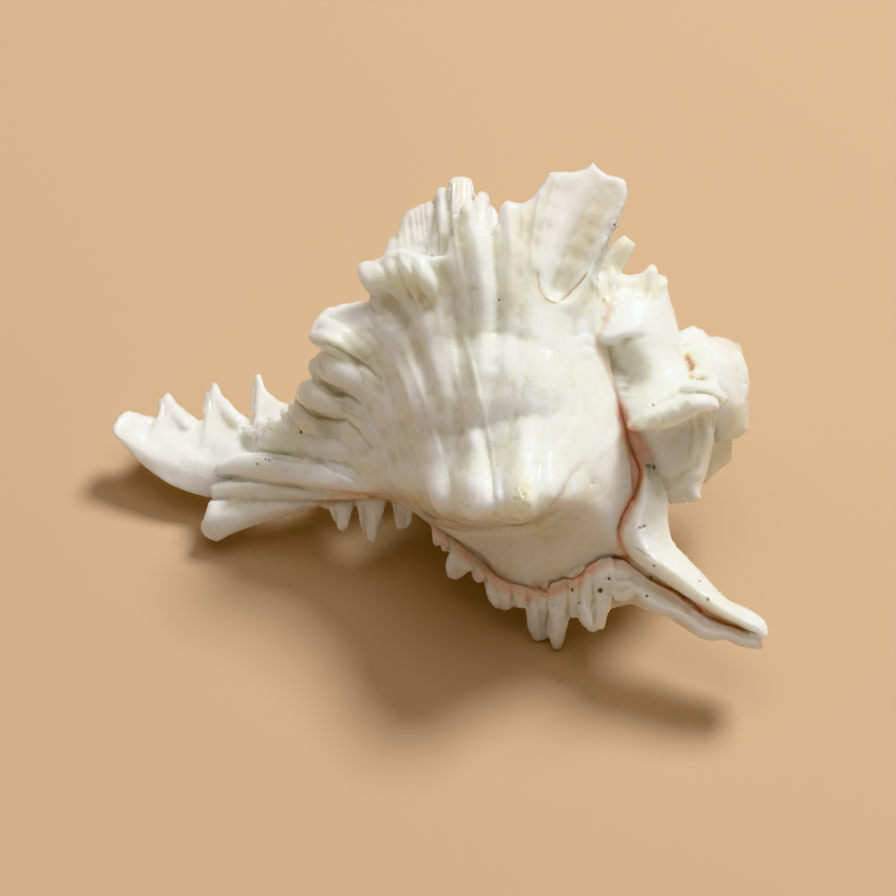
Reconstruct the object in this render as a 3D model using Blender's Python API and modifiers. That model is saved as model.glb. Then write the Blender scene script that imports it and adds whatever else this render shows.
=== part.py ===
"""A bleached murex shell that lies on the fronds of two varices, as one closed solid.

The front of the shell is laid out on a drawing grid, as it is seen from above and in front: steps
to the right and down are a quarter of a millimetre, and the third number is how far a point stands
out of the drawing's plane, in millimetres. The plane goes through the axis of the coil. Forms
round the back are given by their place along the axis, their distance from it and their angle.
"""

import math

import bmesh
import bpy
import numpy as np
from mathutils import Matrix, Vector

MM = 0.001

# The drawing grid, and how the shell lies on the table
GRID = 0.25                     # one step of the grid, mm
GRID_MIDDLE = 448               # grid line through the middle of the drawing, both ways
EYE = 750.0                     # where the sight lines meet, mm in front of the plane
LEAN = math.radians(48.0)       # how far the eye stands above the table
TABLE = -29.0                   # height of the table under the middle of the drawing, mm

# The coil
AXIS_ORIGIN = np.array([0.0, 4.5, 0.0])         # a point on the axis: right, up, out, mm
AXIS_WAY = np.array([0.988, 0.104, 0.115])      # the way from the canal to the apex
APEX = 82.0                     # where the whorls would shrink to nothing, mm along the axis
GROWTH = 1.62                   # how much a whorl grows in one turn
LIP_ANGLE = 52.0                # angle of the newest varix, degrees from the eye, upward
TURNS = 3.1                     # whorls that are left of the worn spire
VARIX_GAP = 122.0               # degrees between two varices
WHORL = [                       # one whorl at the lip: distance from the apex, from the axis, mm
    (40, 17), (44, 26.5), (50, 33), (58, 36.2), (70, 36.2), (82, 32.5), (94, 25), (104, 17),
    (112, 11), (120, 8),
]

# The mouth
MOUTH_ALONG = 2.0               # centre of the mouth, mm along the axis
MOUTH_OUT = 20.0                # and mm from the axis
MOUTH_HALF_LENGTH = 18.0
MOUTH_HALF_WIDTH = 10.0
MOUTH_TURN = 75.0               # how far the hollow runs back into the whorl, degrees
MOUTH_OPEN = 24.0               # how far the cut runs on past the lip, degrees
RIM_WIDTH = 2.6                 # half the thickness of the mouth's rim
RIM_GROWTH = 0.5                # how much thicker the rim is on its outer side

# The third varix, which carries the back of the shell
THIRD_FIRST = -22.0             # where its first frond stands, mm along the axis
THIRD_PITCH = 9.0               # from one frond to the next
THIRD_REACH = [38, 46, 51.5, 49, 56.2, 53, 60.5]     # how far each frond comes from the axis

# How fine the solid is
CELL = 0.85                     # mm
SMOOTHING = 3
TRIANGLES = 9200


def place(points):
    """Metres on the table for points given as right, up and out, in mm."""
    p = np.atleast_2d(np.asarray(points, float))
    y = p[:, 1] * math.sin(LEAN) - p[:, 2] * math.cos(LEAN)
    z = p[:, 1] * math.cos(LEAN) + p[:, 2] * math.sin(LEAN)
    return np.column_stack([p[:, 0], y, z]) * MM


def drawn(points):
    """Points of the drawing grid: steps right, steps down, mm out."""
    p = np.atleast_2d(np.asarray(points, float))
    nearer = 1 - p[:, 2] / EYE
    right = (p[:, 0] - GRID_MIDDLE) * GRID * nearer
    up = (GRID_MIDDLE - p[:, 1]) * GRID * nearer
    return place(np.column_stack([right, up, p[:, 2]]))


AXIS_WAY = AXIS_WAY / np.linalg.norm(AXIS_WAY)
AXIS_OUT = np.array([0.0, 0.0, 1.0]) - AXIS_WAY[2] * AXIS_WAY
AXIS_OUT = AXIS_OUT / np.linalg.norm(AXIS_OUT)
AXIS_UP = np.cross(AXIS_OUT, AXIS_WAY)


def turned(points):
    """Points round the axis: mm along it, mm from it, degrees from the eye upward."""
    p = np.atleast_2d(np.asarray(points, float))
    angle = np.radians(p[:, 2])
    radial = np.outer(np.cos(angle), AXIS_OUT) + np.outer(np.sin(angle), AXIS_UP)
    return place(AXIS_ORIGIN + np.outer(p[:, 0], AXIS_WAY) + radial * p[:, 1:2])


def steps_along(points):
    """Share of the way along a line of points, for each of them."""
    lengths = np.linalg.norm(np.diff(points, axis=0), axis=1)
    way = np.concatenate([[0.0], np.cumsum(lengths)])
    return way / way[-1]


def curve_at(knots, points, where):
    """A smooth curve through the points, read at the given places between the knots."""
    slopes = np.gradient(points, knots, axis=0)
    i = np.clip(np.searchsorted(knots, where, side="right") - 1, 0, len(knots) - 2)
    gap = (knots[i + 1] - knots[i])[:, None]
    t = ((where - knots[i]) / (knots[i + 1] - knots[i]))[:, None]
    start, end = points[i], points[i + 1]
    return (
        (2 * t**3 - 3 * t**2 + 1) * start
        + (t**3 - 2 * t**2 + t) * gap * slopes[i]
        + (3 * t**2 - 2 * t**3) * end
        + (t**3 - t**2) * gap * slopes[i + 1]
    )


def corners_at(knots, points, where):
    """A line with sharp corners through the points, read at the given places."""
    return np.column_stack([np.interp(where, knots, points[:, k]) for k in range(3)])


def share_on(guide, points):
    """How far along the guide each point lies, never going back."""
    dense = np.linspace(0, 1, 400)
    line = curve_at(steps_along(guide), guide, dense)
    nearest = dense[np.argmin(np.linalg.norm(points[:, None] - line[None], axis=2), axis=1)]
    share = np.maximum.accumulate(nearest) + np.arange(len(points)) * 1e-4
    share = share - share[0]
    return share / share[-1]


def closed_grid(front, back):
    """Vertices and faces of the closed body between two grids of points."""
    rows, columns = front.shape[:2]
    count = rows * columns
    vertices = np.vstack([front.reshape(-1, 3), back.reshape(-1, 3)])
    number = np.arange(count).reshape(rows, columns)
    a, b = number[:-1, :-1].ravel(), number[:-1, 1:].ravel()
    c, d = number[1:, 1:].ravel(), number[1:, :-1].ravel()
    rim = np.concatenate([number[0, :], number[1:, -1], number[-1, -2::-1], number[-2:0:-1, 0]])
    after = np.roll(rim, -1)
    far = np.column_stack([d, c, b, a]) + count
    faces = np.column_stack([a, b, c, d]).tolist() + far.tolist()
    faces += np.column_stack([after, rim, rim + count, after + count]).tolist()
    return vertices, faces


def sheet(rows, depths, sharp=(), push=(0.0, 0.4, -0.92), columns=180, across=40, put=drawn):
    """A body whose front goes through the rows of points, each row with its own depth in mm.
    The rows named in sharp keep their corners, and follow the row beside them."""
    placed = [put(row) for row in rows]
    where = np.linspace(0, 1, columns)
    lines = []
    for number, points in enumerate(placed):
        if number in sharp:
            guide = placed[number - 1] if number else placed[1]
            lines.append(corners_at(share_on(guide, points), points, where))
        else:
            lines.append(curve_at(steps_along(points), points, where))
    lines = np.array(lines)
    knots = np.arange(len(rows), dtype=float)
    reading = np.linspace(0, len(rows) - 1, across)
    front = np.array([curve_at(knots, lines[:, j], reading) for j in range(columns)])
    depth = np.interp(reading, knots, depths) * MM
    way = place(push)[0] / MM
    back = front + way[None, None, :] * depth[None, :, None]
    return closed_grid(front, back)


def tube(points, radii, flat=1.0, facing=(0.0, 0.0, 1.0), sides=16, count=30, put=drawn):
    """A body round a smooth path, with its own radius in mm at each point. A flat one is thinner
    along the way that it faces."""
    path = put(points)
    knots = steps_along(path)
    where = np.linspace(0, 1, count)
    line = curve_at(knots, path, where)
    radius = np.interp(where, knots, radii) * MM
    ahead = np.gradient(line, axis=0)
    ahead /= np.linalg.norm(ahead, axis=1)[:, None]
    face = place(facing)[0] / MM
    side = np.cross(ahead, face)
    side /= np.linalg.norm(side, axis=1)[:, None]
    thin = np.cross(side, ahead)
    turn = np.linspace(0, 2 * math.pi, sides, endpoint=False)
    rings = (
        line[:, None]
        + side[:, None] * (radius[:, None] * np.cos(turn))[..., None]
        + thin[:, None] * (radius[:, None] * np.sin(turn) * flat)[..., None]
    )
    return closed_rings(rings)


def closed_rings(rings):
    """Vertices and faces of the body through a row of rings, capped at both ends."""
    count, sides = rings.shape[:2]
    number = np.arange(count * sides).reshape(count, sides)
    beside = np.roll(number, -1, axis=1)
    faces = np.column_stack(
        [number[:-1].ravel(), beside[:-1].ravel(), beside[1:].ravel(), number[1:].ravel()]
    ).tolist()
    faces.append(number[0, ::-1].tolist())
    faces.append(number[-1].tolist())
    return rings.reshape(-1, 3), faces


VARIX_SWELL = 0.16              # how much wider a whorl is at a varix
VARIX_WIDTH = 8.0               # half the width of that swelling, degrees
COIL_STEP = 5.0                 # degrees between two sections of the coil
COIL_HEART = 0.3                # where the sections meet beside the axis, mm from it


def coil():
    """The whorls, from the worn apex to the newest lip, with a low rib at each varix."""
    profile = np.array(WHORL, float)
    knots = np.linspace(0, 1, len(profile))
    reading = np.linspace(0, 1, 4 * len(profile))
    outline = np.column_stack([np.interp(reading, knots, profile[:, k]) for k in range(2)])
    rings = []
    for angle in np.arange(LIP_ANGLE - 360 * TURNS, LIP_ANGLE + 1, COIL_STEP):
        size = GROWTH ** ((angle - LIP_ANGLE) / 360)
        from_varix = (LIP_ANGLE - angle + VARIX_GAP / 2) % VARIX_GAP - VARIX_GAP / 2
        rib = 1 + VARIX_SWELL * math.exp(-((from_varix / VARIX_WIDTH) ** 2))
        along = APEX - outline[:, 0] * size
        across = outline[:, 1] * size * rib
        loop = [(along[-1], COIL_HEART, angle)]
        loop += [(x, r, angle) for x, r in zip(along[::-1], across[::-1])]
        loop.append((along[0], COIL_HEART, angle))
        rings.append(turned(loop))
    return closed_rings(np.array(rings))


# The newest varix: from the old lip up over the node to the fronds of the fan
OLD_LIP = [
    (352, 500, -2), (400, 503, 1), (432, 526, 5), (457, 541, 6), (487, 566, 7), (519, 583, 9),
    (548, 581, 10), (585, 562, 14), (614, 555, 18), (638, 560, 22),
]
UNDER_NODE = [
    (345, 494, 0), (395, 500, 8), (422, 515, 14), (450, 529, 19), (480, 533, 23),
    (518, 532, 27), (556, 520, 29), (600, 525, 27), (622, 535, 23),
]
NODE = [
    (335, 486, 3), (385, 486, 13), (418, 492, 23), (442, 501, 31), (472, 506, 37.5),
    (502, 505, 42.5), (530, 503, 45), (556, 496, 44), (600, 500, 33), (632, 500, 24),
]
OVER_NODE = [
    (325, 474, 2), (365, 460, 11), (405, 452, 20), (440, 450, 28), (480, 446, 35),
    (530, 448, 40.5), (570, 452, 40), (605, 450, 34), (628, 448, 25),
]
MIDDLE = [
    (315, 455, 1), (350, 425, 10), (385, 402, 17.5), (425, 388, 25), (470, 375, 30),
    (520, 372, 34), (560, 378, 35.5), (595, 385, 32), (616, 392, 26),
]
FAN_BASE = [
    (308, 428, 2), (325, 400, 7), (352, 372, 13), (385, 330, 20), (420, 300, 26), (460, 285, 30),
    (505, 280, 32), (540, 290, 33), (568, 305, 33), (590, 310, 30), (603, 330, 27),
]
FAN_EDGE = [
    (290, 420, 4), (296, 396, 4), (304, 382, 4), (313, 379, 5), (322, 388, 9), (314, 372, 9),
    (308, 362, 8), (315, 359, 8), (326, 350, 8), (334, 348, 9), (343, 357, 13), (333, 348, 14),
    (307, 338, 12), (314, 323, 12), (323, 312, 11), (330, 308, 11), (334, 310, 12),
    (343, 305, 13), (350, 306, 14), (354, 304, 15), (369, 303, 20), (371, 290, 22),
    (359, 267, 22), (364, 262, 22), (372, 263, 23), (384, 257, 24), (388, 254, 25),
    (402, 250, 27), (409, 253, 27), (416, 256, 28), (432, 259, 29), (446, 257, 28),
    (450, 230, 27), (452, 215, 27), (461, 216, 27), (467, 207, 26.5), (473, 211, 26.5),
    (475, 224, 27), (489, 233, 28), (497, 226, 27.5), (501, 206, 26.5), (508, 203, 26.5),
    (523, 205, 27), (532, 199, 27), (541, 188, 27), (550, 173, 26.5), (575, 173, 27),
    (587, 169, 27), (593, 163, 27), (601, 171, 27.5), (609, 177, 28), (621, 179, 28),
    (628, 184, 28), (629, 188, 28), (622, 192, 28), (632, 204, 28.5), (621, 207, 28.5),
    (617, 221, 29), (608, 230, 29), (596, 248, 29), (589, 266, 28.5), (600, 290, 26.5),
    (604, 310, 25),
]


def fan():
    return sheet(
        [OLD_LIP, UNDER_NODE, NODE, OVER_NODE, MIDDLE, FAN_BASE, FAN_EDGE],
        [6, 14, 20, 20, 17, 11, 2.4],
        sharp=(6,),
        columns=260,
        across=60,
    )


# The scalloped layer of fronds behind the fan
BACK_FAN_BASE = [(388, 275, 19), (430, 270, 22), (465, 270, 24), (502, 272, 21)]
BACK_FAN_MIDDLE = [(392, 247, 20.5), (428, 236, 24), (463, 232, 25.5), (500, 242, 22.5)]
BACK_FAN_EDGE = [
    (389, 241, 19), (396, 237, 20), (401, 221, 20), (408, 212, 21), (420, 206, 21),
    (432, 201, 22), (436, 191, 23), (446, 188, 23), (449, 181, 24), (461, 177, 25),
    (472, 181, 25), (479, 191, 24), (489, 197, 23), (493, 208, 21), (499, 217, 21),
    (503, 240, 21),
]


def back_fan():
    return sheet([BACK_FAN_BASE, BACK_FAN_MIDDLE, BACK_FAN_EDGE], [6, 4, 2], sharp=(2,),
                 columns=80, across=24)


# The fringe: the flange of the older varix, seen on the side of its old lip
FRINGE_ROOT = [
    (432, 522, 4), (457, 536, 4), (487, 560, 5), (519, 578, 7), (548, 577, 8), (585, 560, 12),
    (612, 552, 15),
]
FRINGE_CREST = [
    (432, 532, 7), (455, 548, 8), (480, 572, 9), (515, 592, 11), (548, 598, 12),
    (580, 585, 14), (612, 574, 17),
]
FRINGE_EDGE = [
    (432, 535, 1), (435, 546, 0), (441, 545, 0), (446, 552, -1), (450, 556, -3), (448, 570, -4),
    (450, 578, -5), (457, 580, -5), (466, 573, -1), (471, 569, 0), (473, 580, -1), (480, 583, -1),
    (485, 580, 1), (486, 589, 0), (499, 608, -2), (506, 611, -2), (512, 603, 1), (516, 608, 2),
    (522, 608, 3), (529, 609, 3), (528, 622, 3), (533, 626, 3), (535, 641, 4), (542, 641, 5),
    (548, 632, 6), (552, 645, 6), (558, 650, 6), (563, 648, 6), (565, 636, 7), (570, 618, 8),
    (578, 618, 9), (584, 628, 8), (595, 633, 6), (602, 628, 7), (608, 614, 10),
]


def fringe():
    return sheet([FRINGE_ROOT, FRINGE_CREST, FRINGE_EDGE], [8, 9, 3], sharp=(2,),
                 push=(0.0, 0.25, -0.97), columns=160, across=24)


LOW_SPINES = [
    [(341, 496, -2), (341, 512, -2.5), (341, 527, -3)],
    [(371, 492, 1), (370, 515, -0.5), (369, 540, -2)],
    [(404, 494, 2), (404, 512, 1), (403, 527, 0.5)],
]
LOW_SPINE_RADII = [5.0, 2.9, 1.9]


# The long shoulder spine of the older varix, with the groove along it
NECK_OUTER = [
    (655, 462, 17), (668, 500, 19), (669, 524, 21), (674, 544, 22.5), (688, 559, 24.5),
    (707, 579, 26.5), (727, 600, 28.5), (756, 615, 30.5), (766, 624, 31.5), (769, 636, 31.5),
]
NECK_CREST = [
    (650, 466, 23), (652, 500, 27), (650, 530, 31), (660, 556, 33.5), (678, 573, 34),
    (698, 590, 34), (720, 607, 34.5), (745, 621, 34.5), (758, 628, 34), (766, 638, 33.5),
]
NECK_INNER = [
    (641, 474, 22), (634, 497, 23), (623, 519, 25), (620, 537, 26.5), (629, 556, 28),
    (648, 571, 29), (670, 586, 29.5), (692, 600, 30.5), (714, 614, 30.5), (742, 627, 31.5),
    (762, 640, 31.5),
]
FLANGE_INNER = [
    (606, 560, 15), (628, 562, 23), (645, 575, 26), (668, 589, 27.5), (690, 603, 28.5),
    (713, 618, 29.5), (740, 631, 30.5), (762, 643, 31.5),
]
FLANGE_CREST = [
    (600, 572, 17), (616, 590, 22), (634, 588, 25), (655, 601, 27), (678, 612, 28.5),
    (700, 629, 29.5), (724, 636, 30.5), (758, 645, 31.5),
]
FLANGE_OUTER = [
    (604, 612, 11), (620, 607, 14), (632, 605, 18), (647, 611, 22), (665, 614, 24.5),
    (678, 624, 25.5), (704, 637, 27.5), (720, 635, 28.5), (744, 645, 29.5), (769, 647, 30.5),
]


def neck():
    return sheet([NECK_OUTER, NECK_CREST, NECK_INNER], [5, 9, 6], push=(0.0, 0.1, -0.99),
                 columns=80, across=24)


def flange():
    return sheet([FLANGE_INNER, FLANGE_CREST, FLANGE_OUTER], [7, 6, 2.5],
                 push=(0.0, 0.1, -0.99), columns=80, across=24)


# The spire: the front of the older whorls, from the crown down
CROWN_EDGE = [
    (589, 282, 22), (595, 267, 23), (600, 276, 23), (605, 276, 23), (612, 270, 24),
    (620, 277, 23), (637, 277, 22), (646, 272, 22), (652, 266, 22), (657, 269, 22),
    (660, 278, 21), (668, 279, 20), (669, 300, 19), (672, 308, 18),
]
CROWN_FACE = [(594, 305, 25), (615, 300, 26), (640, 300, 26), (660, 304, 24), (675, 318, 19)]
SHELF = [(592, 334, 27), (603, 338, 30), (620, 332, 31), (637, 328, 30), (655, 330, 27),
         (679, 334, 20)]
HOLLOW = [(604, 352, 25), (620, 350, 27.5), (637, 346, 28.5), (658, 350, 27), (685, 356, 20)]
FACE = [(614, 378, 23), (632, 378, 26), (652, 380, 29), (675, 380, 29), (698, 380, 21)]
FOLD = [
    (619, 402, 25), (632, 412, 30), (650, 413, 34), (667, 412, 37), (682, 404, 38),
    (700, 397, 38), (722, 401, 35),
]
UNDER_FOLD = [
    (624, 424, 23), (640, 432, 26), (656, 434, 28), (668, 426, 28), (684, 420, 27),
    (704, 414, 25), (718, 412, 23),
]
LOWER_FACE = [(636, 455, 22), (655, 460, 23), (680, 460, 22), (700, 455, 20), (714, 443, 16)]
LOWER_TIPS = [
    (645, 472, 18), (660, 492, 16), (670, 505, 14), (684, 503, 15), (697, 502, 16),
    (703, 485, 14), (709, 468, 12),
]


def spire_front():
    return sheet(
        [CROWN_EDGE, CROWN_FACE, SHELF, HOLLOW, FACE, FOLD, UNDER_FOLD, LOWER_FACE, LOWER_TIPS],
        [2.5, 8, 14, 14, 14, 16, 14, 12, 4],
        sharp=(0, 8),
        columns=110,
        across=70,
    )


APEX_EDGE = [
    (679, 340, 8), (682, 333, 9), (696, 328, 9), (704, 332, 9), (717, 344, 10), (726, 345, 9),
    (733, 349, 9), (738, 357, 8), (746, 364, 7), (748, 388, 6), (747, 400, 6), (749, 417, 5),
    (747, 431, 4), (731, 441, 4), (731, 460, 2), (716, 474, 3), (703, 485, 4),
]
APEX_FACE = [
    (684, 358, 15), (696, 348, 18), (716, 354, 19), (732, 366, 18), (738, 392, 16),
    (736, 418, 14), (722, 436, 13), (706, 458, 12),
]
APEX_ROOT = [(680, 385, 18), (692, 372, 20), (706, 384, 22), (710, 408, 20), (700, 430, 17)]


def apex():
    return sheet([APEX_ROOT, APEX_FACE, APEX_EDGE], [14, 14, 6], sharp=(2,), columns=90,
                 across=24)


# The canal, with its spinelets, and the fronds that lie along it
CANAL_TOP = [
    (111, 429, -22), (117, 420, -23.5), (124, 412, -25), (137, 413, -26), (147, 417, -26),
    (156, 419, -27), (158, 411, -28), (157, 402, -29), (160, 394, -30), (166, 391, -30),
    (170, 394, -30), (176, 403, -29), (187, 413, -27), (200, 422, -25), (205, 416, -26),
    (204, 410, -27), (207, 405, -27), (205, 391, -29), (212, 383, -29), (218, 386, -29),
    (223, 399, -27), (234, 412, -24), (251, 420, -21), (256, 410, -22), (252, 402, -23),
    (255, 396, -23), (252, 378, -25), (257, 372, -25), (261, 377, -24), (265, 390, -22),
    (273, 399, -19), (288, 405, -16), (310, 395, -12), (330, 385, -6),
]
CANAL_MIDDLE = [(112, 431, -21), (160, 447, -20), (215, 457, -17), (270, 455, -9), (335, 455, 3)]
CANAL_FOOT = [
    (113, 434, -21), (138, 461, -19.5), (173, 486, -18), (206, 497, -17), (260, 493, -10),
    (320, 490, -2), (350, 492, 3),
]


def canal():
    return sheet([CANAL_TOP, CANAL_MIDDLE, CANAL_FOOT], [3, 9, 4], sharp=(0,),
                 push=(0.0, 0.1, -0.99), columns=160, across=24)


FRONDS = [
    # path, radii in mm and flatness of each frond beside the canal
    ([(242, 430, -17), (280, 431, -9), (322, 436, 0), (372, 448, 10)], [2, 3.8, 4.4, 3], 0.5),
    ([(261, 442, -12), (288, 442, -5), (330, 446, 3), (384, 458, 11)], [2.8, 3.3, 3.6, 3], 0.7),
    ([(220, 470, -14), (240, 466, -11), (280, 468, -3), (330, 476, 4), (386, 486, 9)],
     [1.8, 3.1, 3.4, 3.4, 3], 0.75),
    ([(212, 492, -15), (250, 488, -9), (300, 488, -2), (372, 491, 5)], [2.0, 2.8, 3.0, 3], 0.8),
]
# The folded horn over the spire's lower face, and the one above it
HORN = [(630, 423, 27), (648, 419, 33), (666, 415, 37), (684, 407, 40), (700, 402, 42),
        (712, 404, 41), (717, 408, 40)]
HORN_RADII = [1.8, 2.4, 2.5, 2.5, 2.3, 2.0, 1.6]
UPPER_HORN = [(682, 390, 31), (694, 387, 34), (708, 389, 35), (721, 397, 34), (725, 400, 33.5)]
UPPER_HORN_RADII = [1.4, 1.7, 1.7, 1.6, 1.4]
LOBE_TOP = [(209, 502, -11), (235, 500, -10), (275, 499, -6), (320, 500, -2)]
LOBE_MIDDLE = [(203, 520, -10), (240, 516, -7.5), (280, 508, -4), (320, 503, -1)]
LOBE_FOOT = [
    (200, 524, -11.5), (202, 532, -11.5), (209, 539, -11), (217, 542, -11), (224, 538, -10.5),
    (258, 525, -9), (318, 507, -4),
]


def low_lobe():
    return sheet([LOBE_TOP, LOBE_MIDDLE, LOBE_FOOT], [4, 8, 3], push=(0.0, 0.1, -0.99),
                 columns=60, across=20)


GREY_ROD = [(626, 241, 20), (620, 250, 20), (603, 286, 20)]


# Forms on the far side, round the axis: mm along it, mm from it, degrees
THIRD_ROWS = [
    [(-26, 9, 105), (-8, 17, 105), (10, 21, 105), (28, 20, 105), (42, 14, 105)],
    [(-27, 11, 135), (-8, 22, 135), (10, 26, 135), (28, 26, 135), (42, 18, 135)],
    [(-28, 15, 155), (-8, 28, 157), (10, 34, 158), (28, 36, 158), (43, 25, 155)],
]
# One frond's outline: mm past its middle, mm short of its reach, degrees
FROND_OUTLINE = [(-3.6, 9, 169), (-1.9, 0, 171), (1.2, 0, 171), (3.4, 8, 169)]


def third_varix():
    """The varix that carries the back of the shell: a flare that ends in hollow fronds."""
    edge = [(-29, 18, 168)]
    for number, reach in enumerate(THIRD_REACH):
        at = THIRD_FIRST + THIRD_PITCH * number
        edge += [(at + past, reach - short, angle) for past, short, angle in FROND_OUTLINE]
    edge.append((45, 28, 162))
    return sheet(THIRD_ROWS + [edge], [8, 8, 8, 2.4], sharp=(3,), push=(0.0, -0.98, -0.17),
                 columns=160, across=36, put=turned)


def third_fronds():
    """The rounded backs of the third varix's fronds."""
    forms = []
    for number, reach in enumerate(THIRD_REACH):
        at = THIRD_FIRST + THIRD_PITCH * number
        path = [(at, reach - 0.5, 172), (at, reach - 9, 172), (at + 0.5, 0.55 * reach, 166)]
        forms.append(tube(path, [2.0, 2.9, 3.4], put=turned))
    return forms


SPIRE_CORE = [(40, 1, 0), (54, 1, 0), (63, 1, 0), (70, 1, 0)]
SPIRE_CORE_RADII = [20, 17, 13, 8]
UNDER_KNOBS = [(0, 22.5, 214), (11, 24.5, 212), (23, 23, 214)]
UNDER_KNOB_RADII = [4.2, 6.4, 4.6]


def mouth_rim():
    """The thick smooth rim of the mouth, on the newest lip."""
    turn = np.linspace(0, 2 * math.pi, 49)
    half_length = MOUTH_HALF_LENGTH + RIM_WIDTH
    half_width = MOUTH_HALF_WIDTH + RIM_WIDTH
    path = [
        (MOUTH_ALONG + half_length * math.cos(a), MOUTH_OUT + half_width * math.sin(a),
         LIP_ANGLE + 6)
        for a in turn
    ]
    radii = [RIM_WIDTH + RIM_GROWTH * math.sin(a) for a in turn]
    return tube(path, radii, sides=12, count=96, facing=(0.0, 0.62, -0.79), put=turned)


def mouth_cutter():
    """The hollow of the mouth: ovals that shrink as they run back round the axis."""
    turn = np.linspace(0, 2 * math.pi, 32, endpoint=False)
    rings = []
    for share in np.linspace(0, 1, 16):
        angle = LIP_ANGLE + MOUTH_OPEN - (MOUTH_TURN + MOUTH_OPEN) * share
        size = 1 - 0.75 * share**2
        rings.append(turned([
            (MOUTH_ALONG + 9 * share + MOUTH_HALF_LENGTH * size * math.cos(a),
             MOUTH_OUT - 3 * share + MOUTH_HALF_WIDTH * size * math.sin(a), angle)
            for a in turn
        ]))
    return closed_rings(np.array(rings))


# Strokes that shape the front. Each is a path of grid points with a half width and a depth in mm
# at each point. A rib stands out that far, and a groove is pressed in that far.
RIBS = [
    [(463, 212, 3.6, 1.4), (468, 255, 4.6, 2.2), (473, 310, 4.2, 1.3), (472, 380, 3.2, 0.8),
     (474, 440, 3.4, 0.7)],
    [(508, 206, 2.4, 0.9), (513, 250, 3.2, 1.4), (512, 300, 3.0, 0.8), (501, 370, 2.6, 0.5),
     (500, 440, 2.6, 0.5)],
    [(364, 266, 3.4, 1.4), (392, 284, 5.0, 2.4), (420, 325, 4.6, 1.4), (436, 385, 3.4, 0.7),
     (438, 450, 3.4, 0.5)],
    [(315, 326, 3.6, 1.0), (345, 322, 4.4, 1.8), (385, 342, 4.4, 1.6), (410, 390, 3.0, 0.8),
     (426, 455, 3.0, 0.5)],
    [(322, 361, 2.8, 1.0), (345, 366, 3.4, 1.8), (378, 385, 3.2, 1.4), (402, 430, 2.6, 0.6)],
    [(303, 391, 2.4, 0.8), (325, 393, 3.0, 1.5), (355, 405, 3.0, 1.2), (388, 445, 2.4, 0.5)],
    [(262, 440, 2.6, 0.6), (295, 443, 3.0, 1.2), (330, 448, 3.0, 1.0), (368, 464, 2.4, 0.4)],
    [(434, 450, 3.6, 0.5), (435, 488, 4.6, 2.4), (440, 512, 3.4, 1.4)],
    [(476, 450, 3.6, 0.6), (477, 490, 5.0, 2.6), (479, 514, 3.8, 1.6)],
    [(506, 450, 2.4, 0.5), (508, 490, 3.2, 2.0), (509, 514, 2.8, 1.2)],
    [(544, 450, 3.6, 0.6), (537, 488, 5.0, 2.6), (527, 512, 4.2, 1.8)],
    [(626, 204, 1.8, 0.8), (613, 226, 1.8, 1.4), (598, 249, 1.8, 1.4), (588, 276, 2.0, 1.4),
     (574, 306, 2.4, 0.8)],
]
GROOVES = [
    [(372, 292, 2.6, 0.8), (395, 308, 4.2, 2.2), (418, 350, 3.6, 1.4), (440, 410, 2.6, 0.4)],
    [(437, 266, 2.6, 0.9), (444, 300, 3.6, 1.3), (454, 350, 3.0, 0.8), (457, 420, 2.2, 0.4)],
    [(490, 236, 1.6, 1.0), (492, 280, 2.4, 1.0), (488, 340, 2.2, 0.6), (487, 410, 2.0, 0.3)],
    [(307, 341, 1.0, 0.8), (333, 346, 1.2, 1.4), (358, 356, 1.6, 1.2), (390, 385, 1.8, 0.6)],
    [(312, 379, 1.0, 0.8), (327, 390, 1.2, 1.2), (352, 397, 1.4, 1.0), (380, 420, 1.6, 0.5)],
    [(295, 402, 1.0, 0.6), (308, 408, 1.2, 1.0), (325, 419, 1.4, 0.9), (360, 434, 1.6, 0.4)],
    [(257, 449, 1.0, 0.7), (277, 457, 1.2, 1.1), (310, 462, 1.4, 1.0), (350, 474, 1.6, 0.5)],
    [(216, 476, 1.0, 0.7), (247, 480, 1.2, 1.1), (289, 486, 1.4, 1.0), (332, 496, 1.4, 0.6)],
    [(457, 470, 1.2, 0.6), (458, 500, 1.6, 1.2), (461, 522, 1.4, 0.8)],
    [(493, 470, 1.0, 0.5), (493, 500, 1.2, 1.0), (493, 520, 1.2, 0.6)],
    [(520, 470, 1.0, 0.5), (520, 500, 1.2, 1.0), (517, 518, 1.2, 0.6)],
    [(424, 518, 1.6, 0.8), (450, 531, 2.0, 1.2), (480, 534, 2.0, 1.2), (512, 531, 2.0, 1.2),
     (536, 526, 2.0, 1.0), (554, 508, 1.6, 0.6)],
    [(628, 561, 0.9, 1.6), (648, 574, 1.0, 3.0), (690, 601, 1.0, 3.0), (728, 623, 1.0, 3.0),
     (757, 636, 0.8, 1.6)],
]
FLUTES = [
    [(449, 540, 1.0, 0.3), (448, 553, 1.0, 1.0)], [(466, 556, 1.0, 0.3), (473, 572, 1.2, 1.0)],
    [(480, 566, 1.0, 0.3), (485, 580, 1.0, 1.0)], [(505, 585, 1.2, 0.3), (512, 604, 1.2, 1.2)],
    [(526, 590, 1.0, 0.5), (528, 606, 1.2, 1.4)], [(546, 592, 1.0, 0.6), (549, 634, 1.2, 1.6)],
    [(566, 585, 1.2, 0.5), (572, 614, 1.4, 1.4)], [(582, 575, 1.2, 0.5), (583, 618, 1.4, 1.2)],
]
# The spoon of the shoulder frond, and how much of its half width is level ground
SPOON = [(562, 279, 5.9, 3.2), (574, 250, 5.9, 2.8), (592, 215, 5.6, 2.2), (606, 192, 5.0, 1.0)]
SPOON_LEVEL = 0.6


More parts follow.
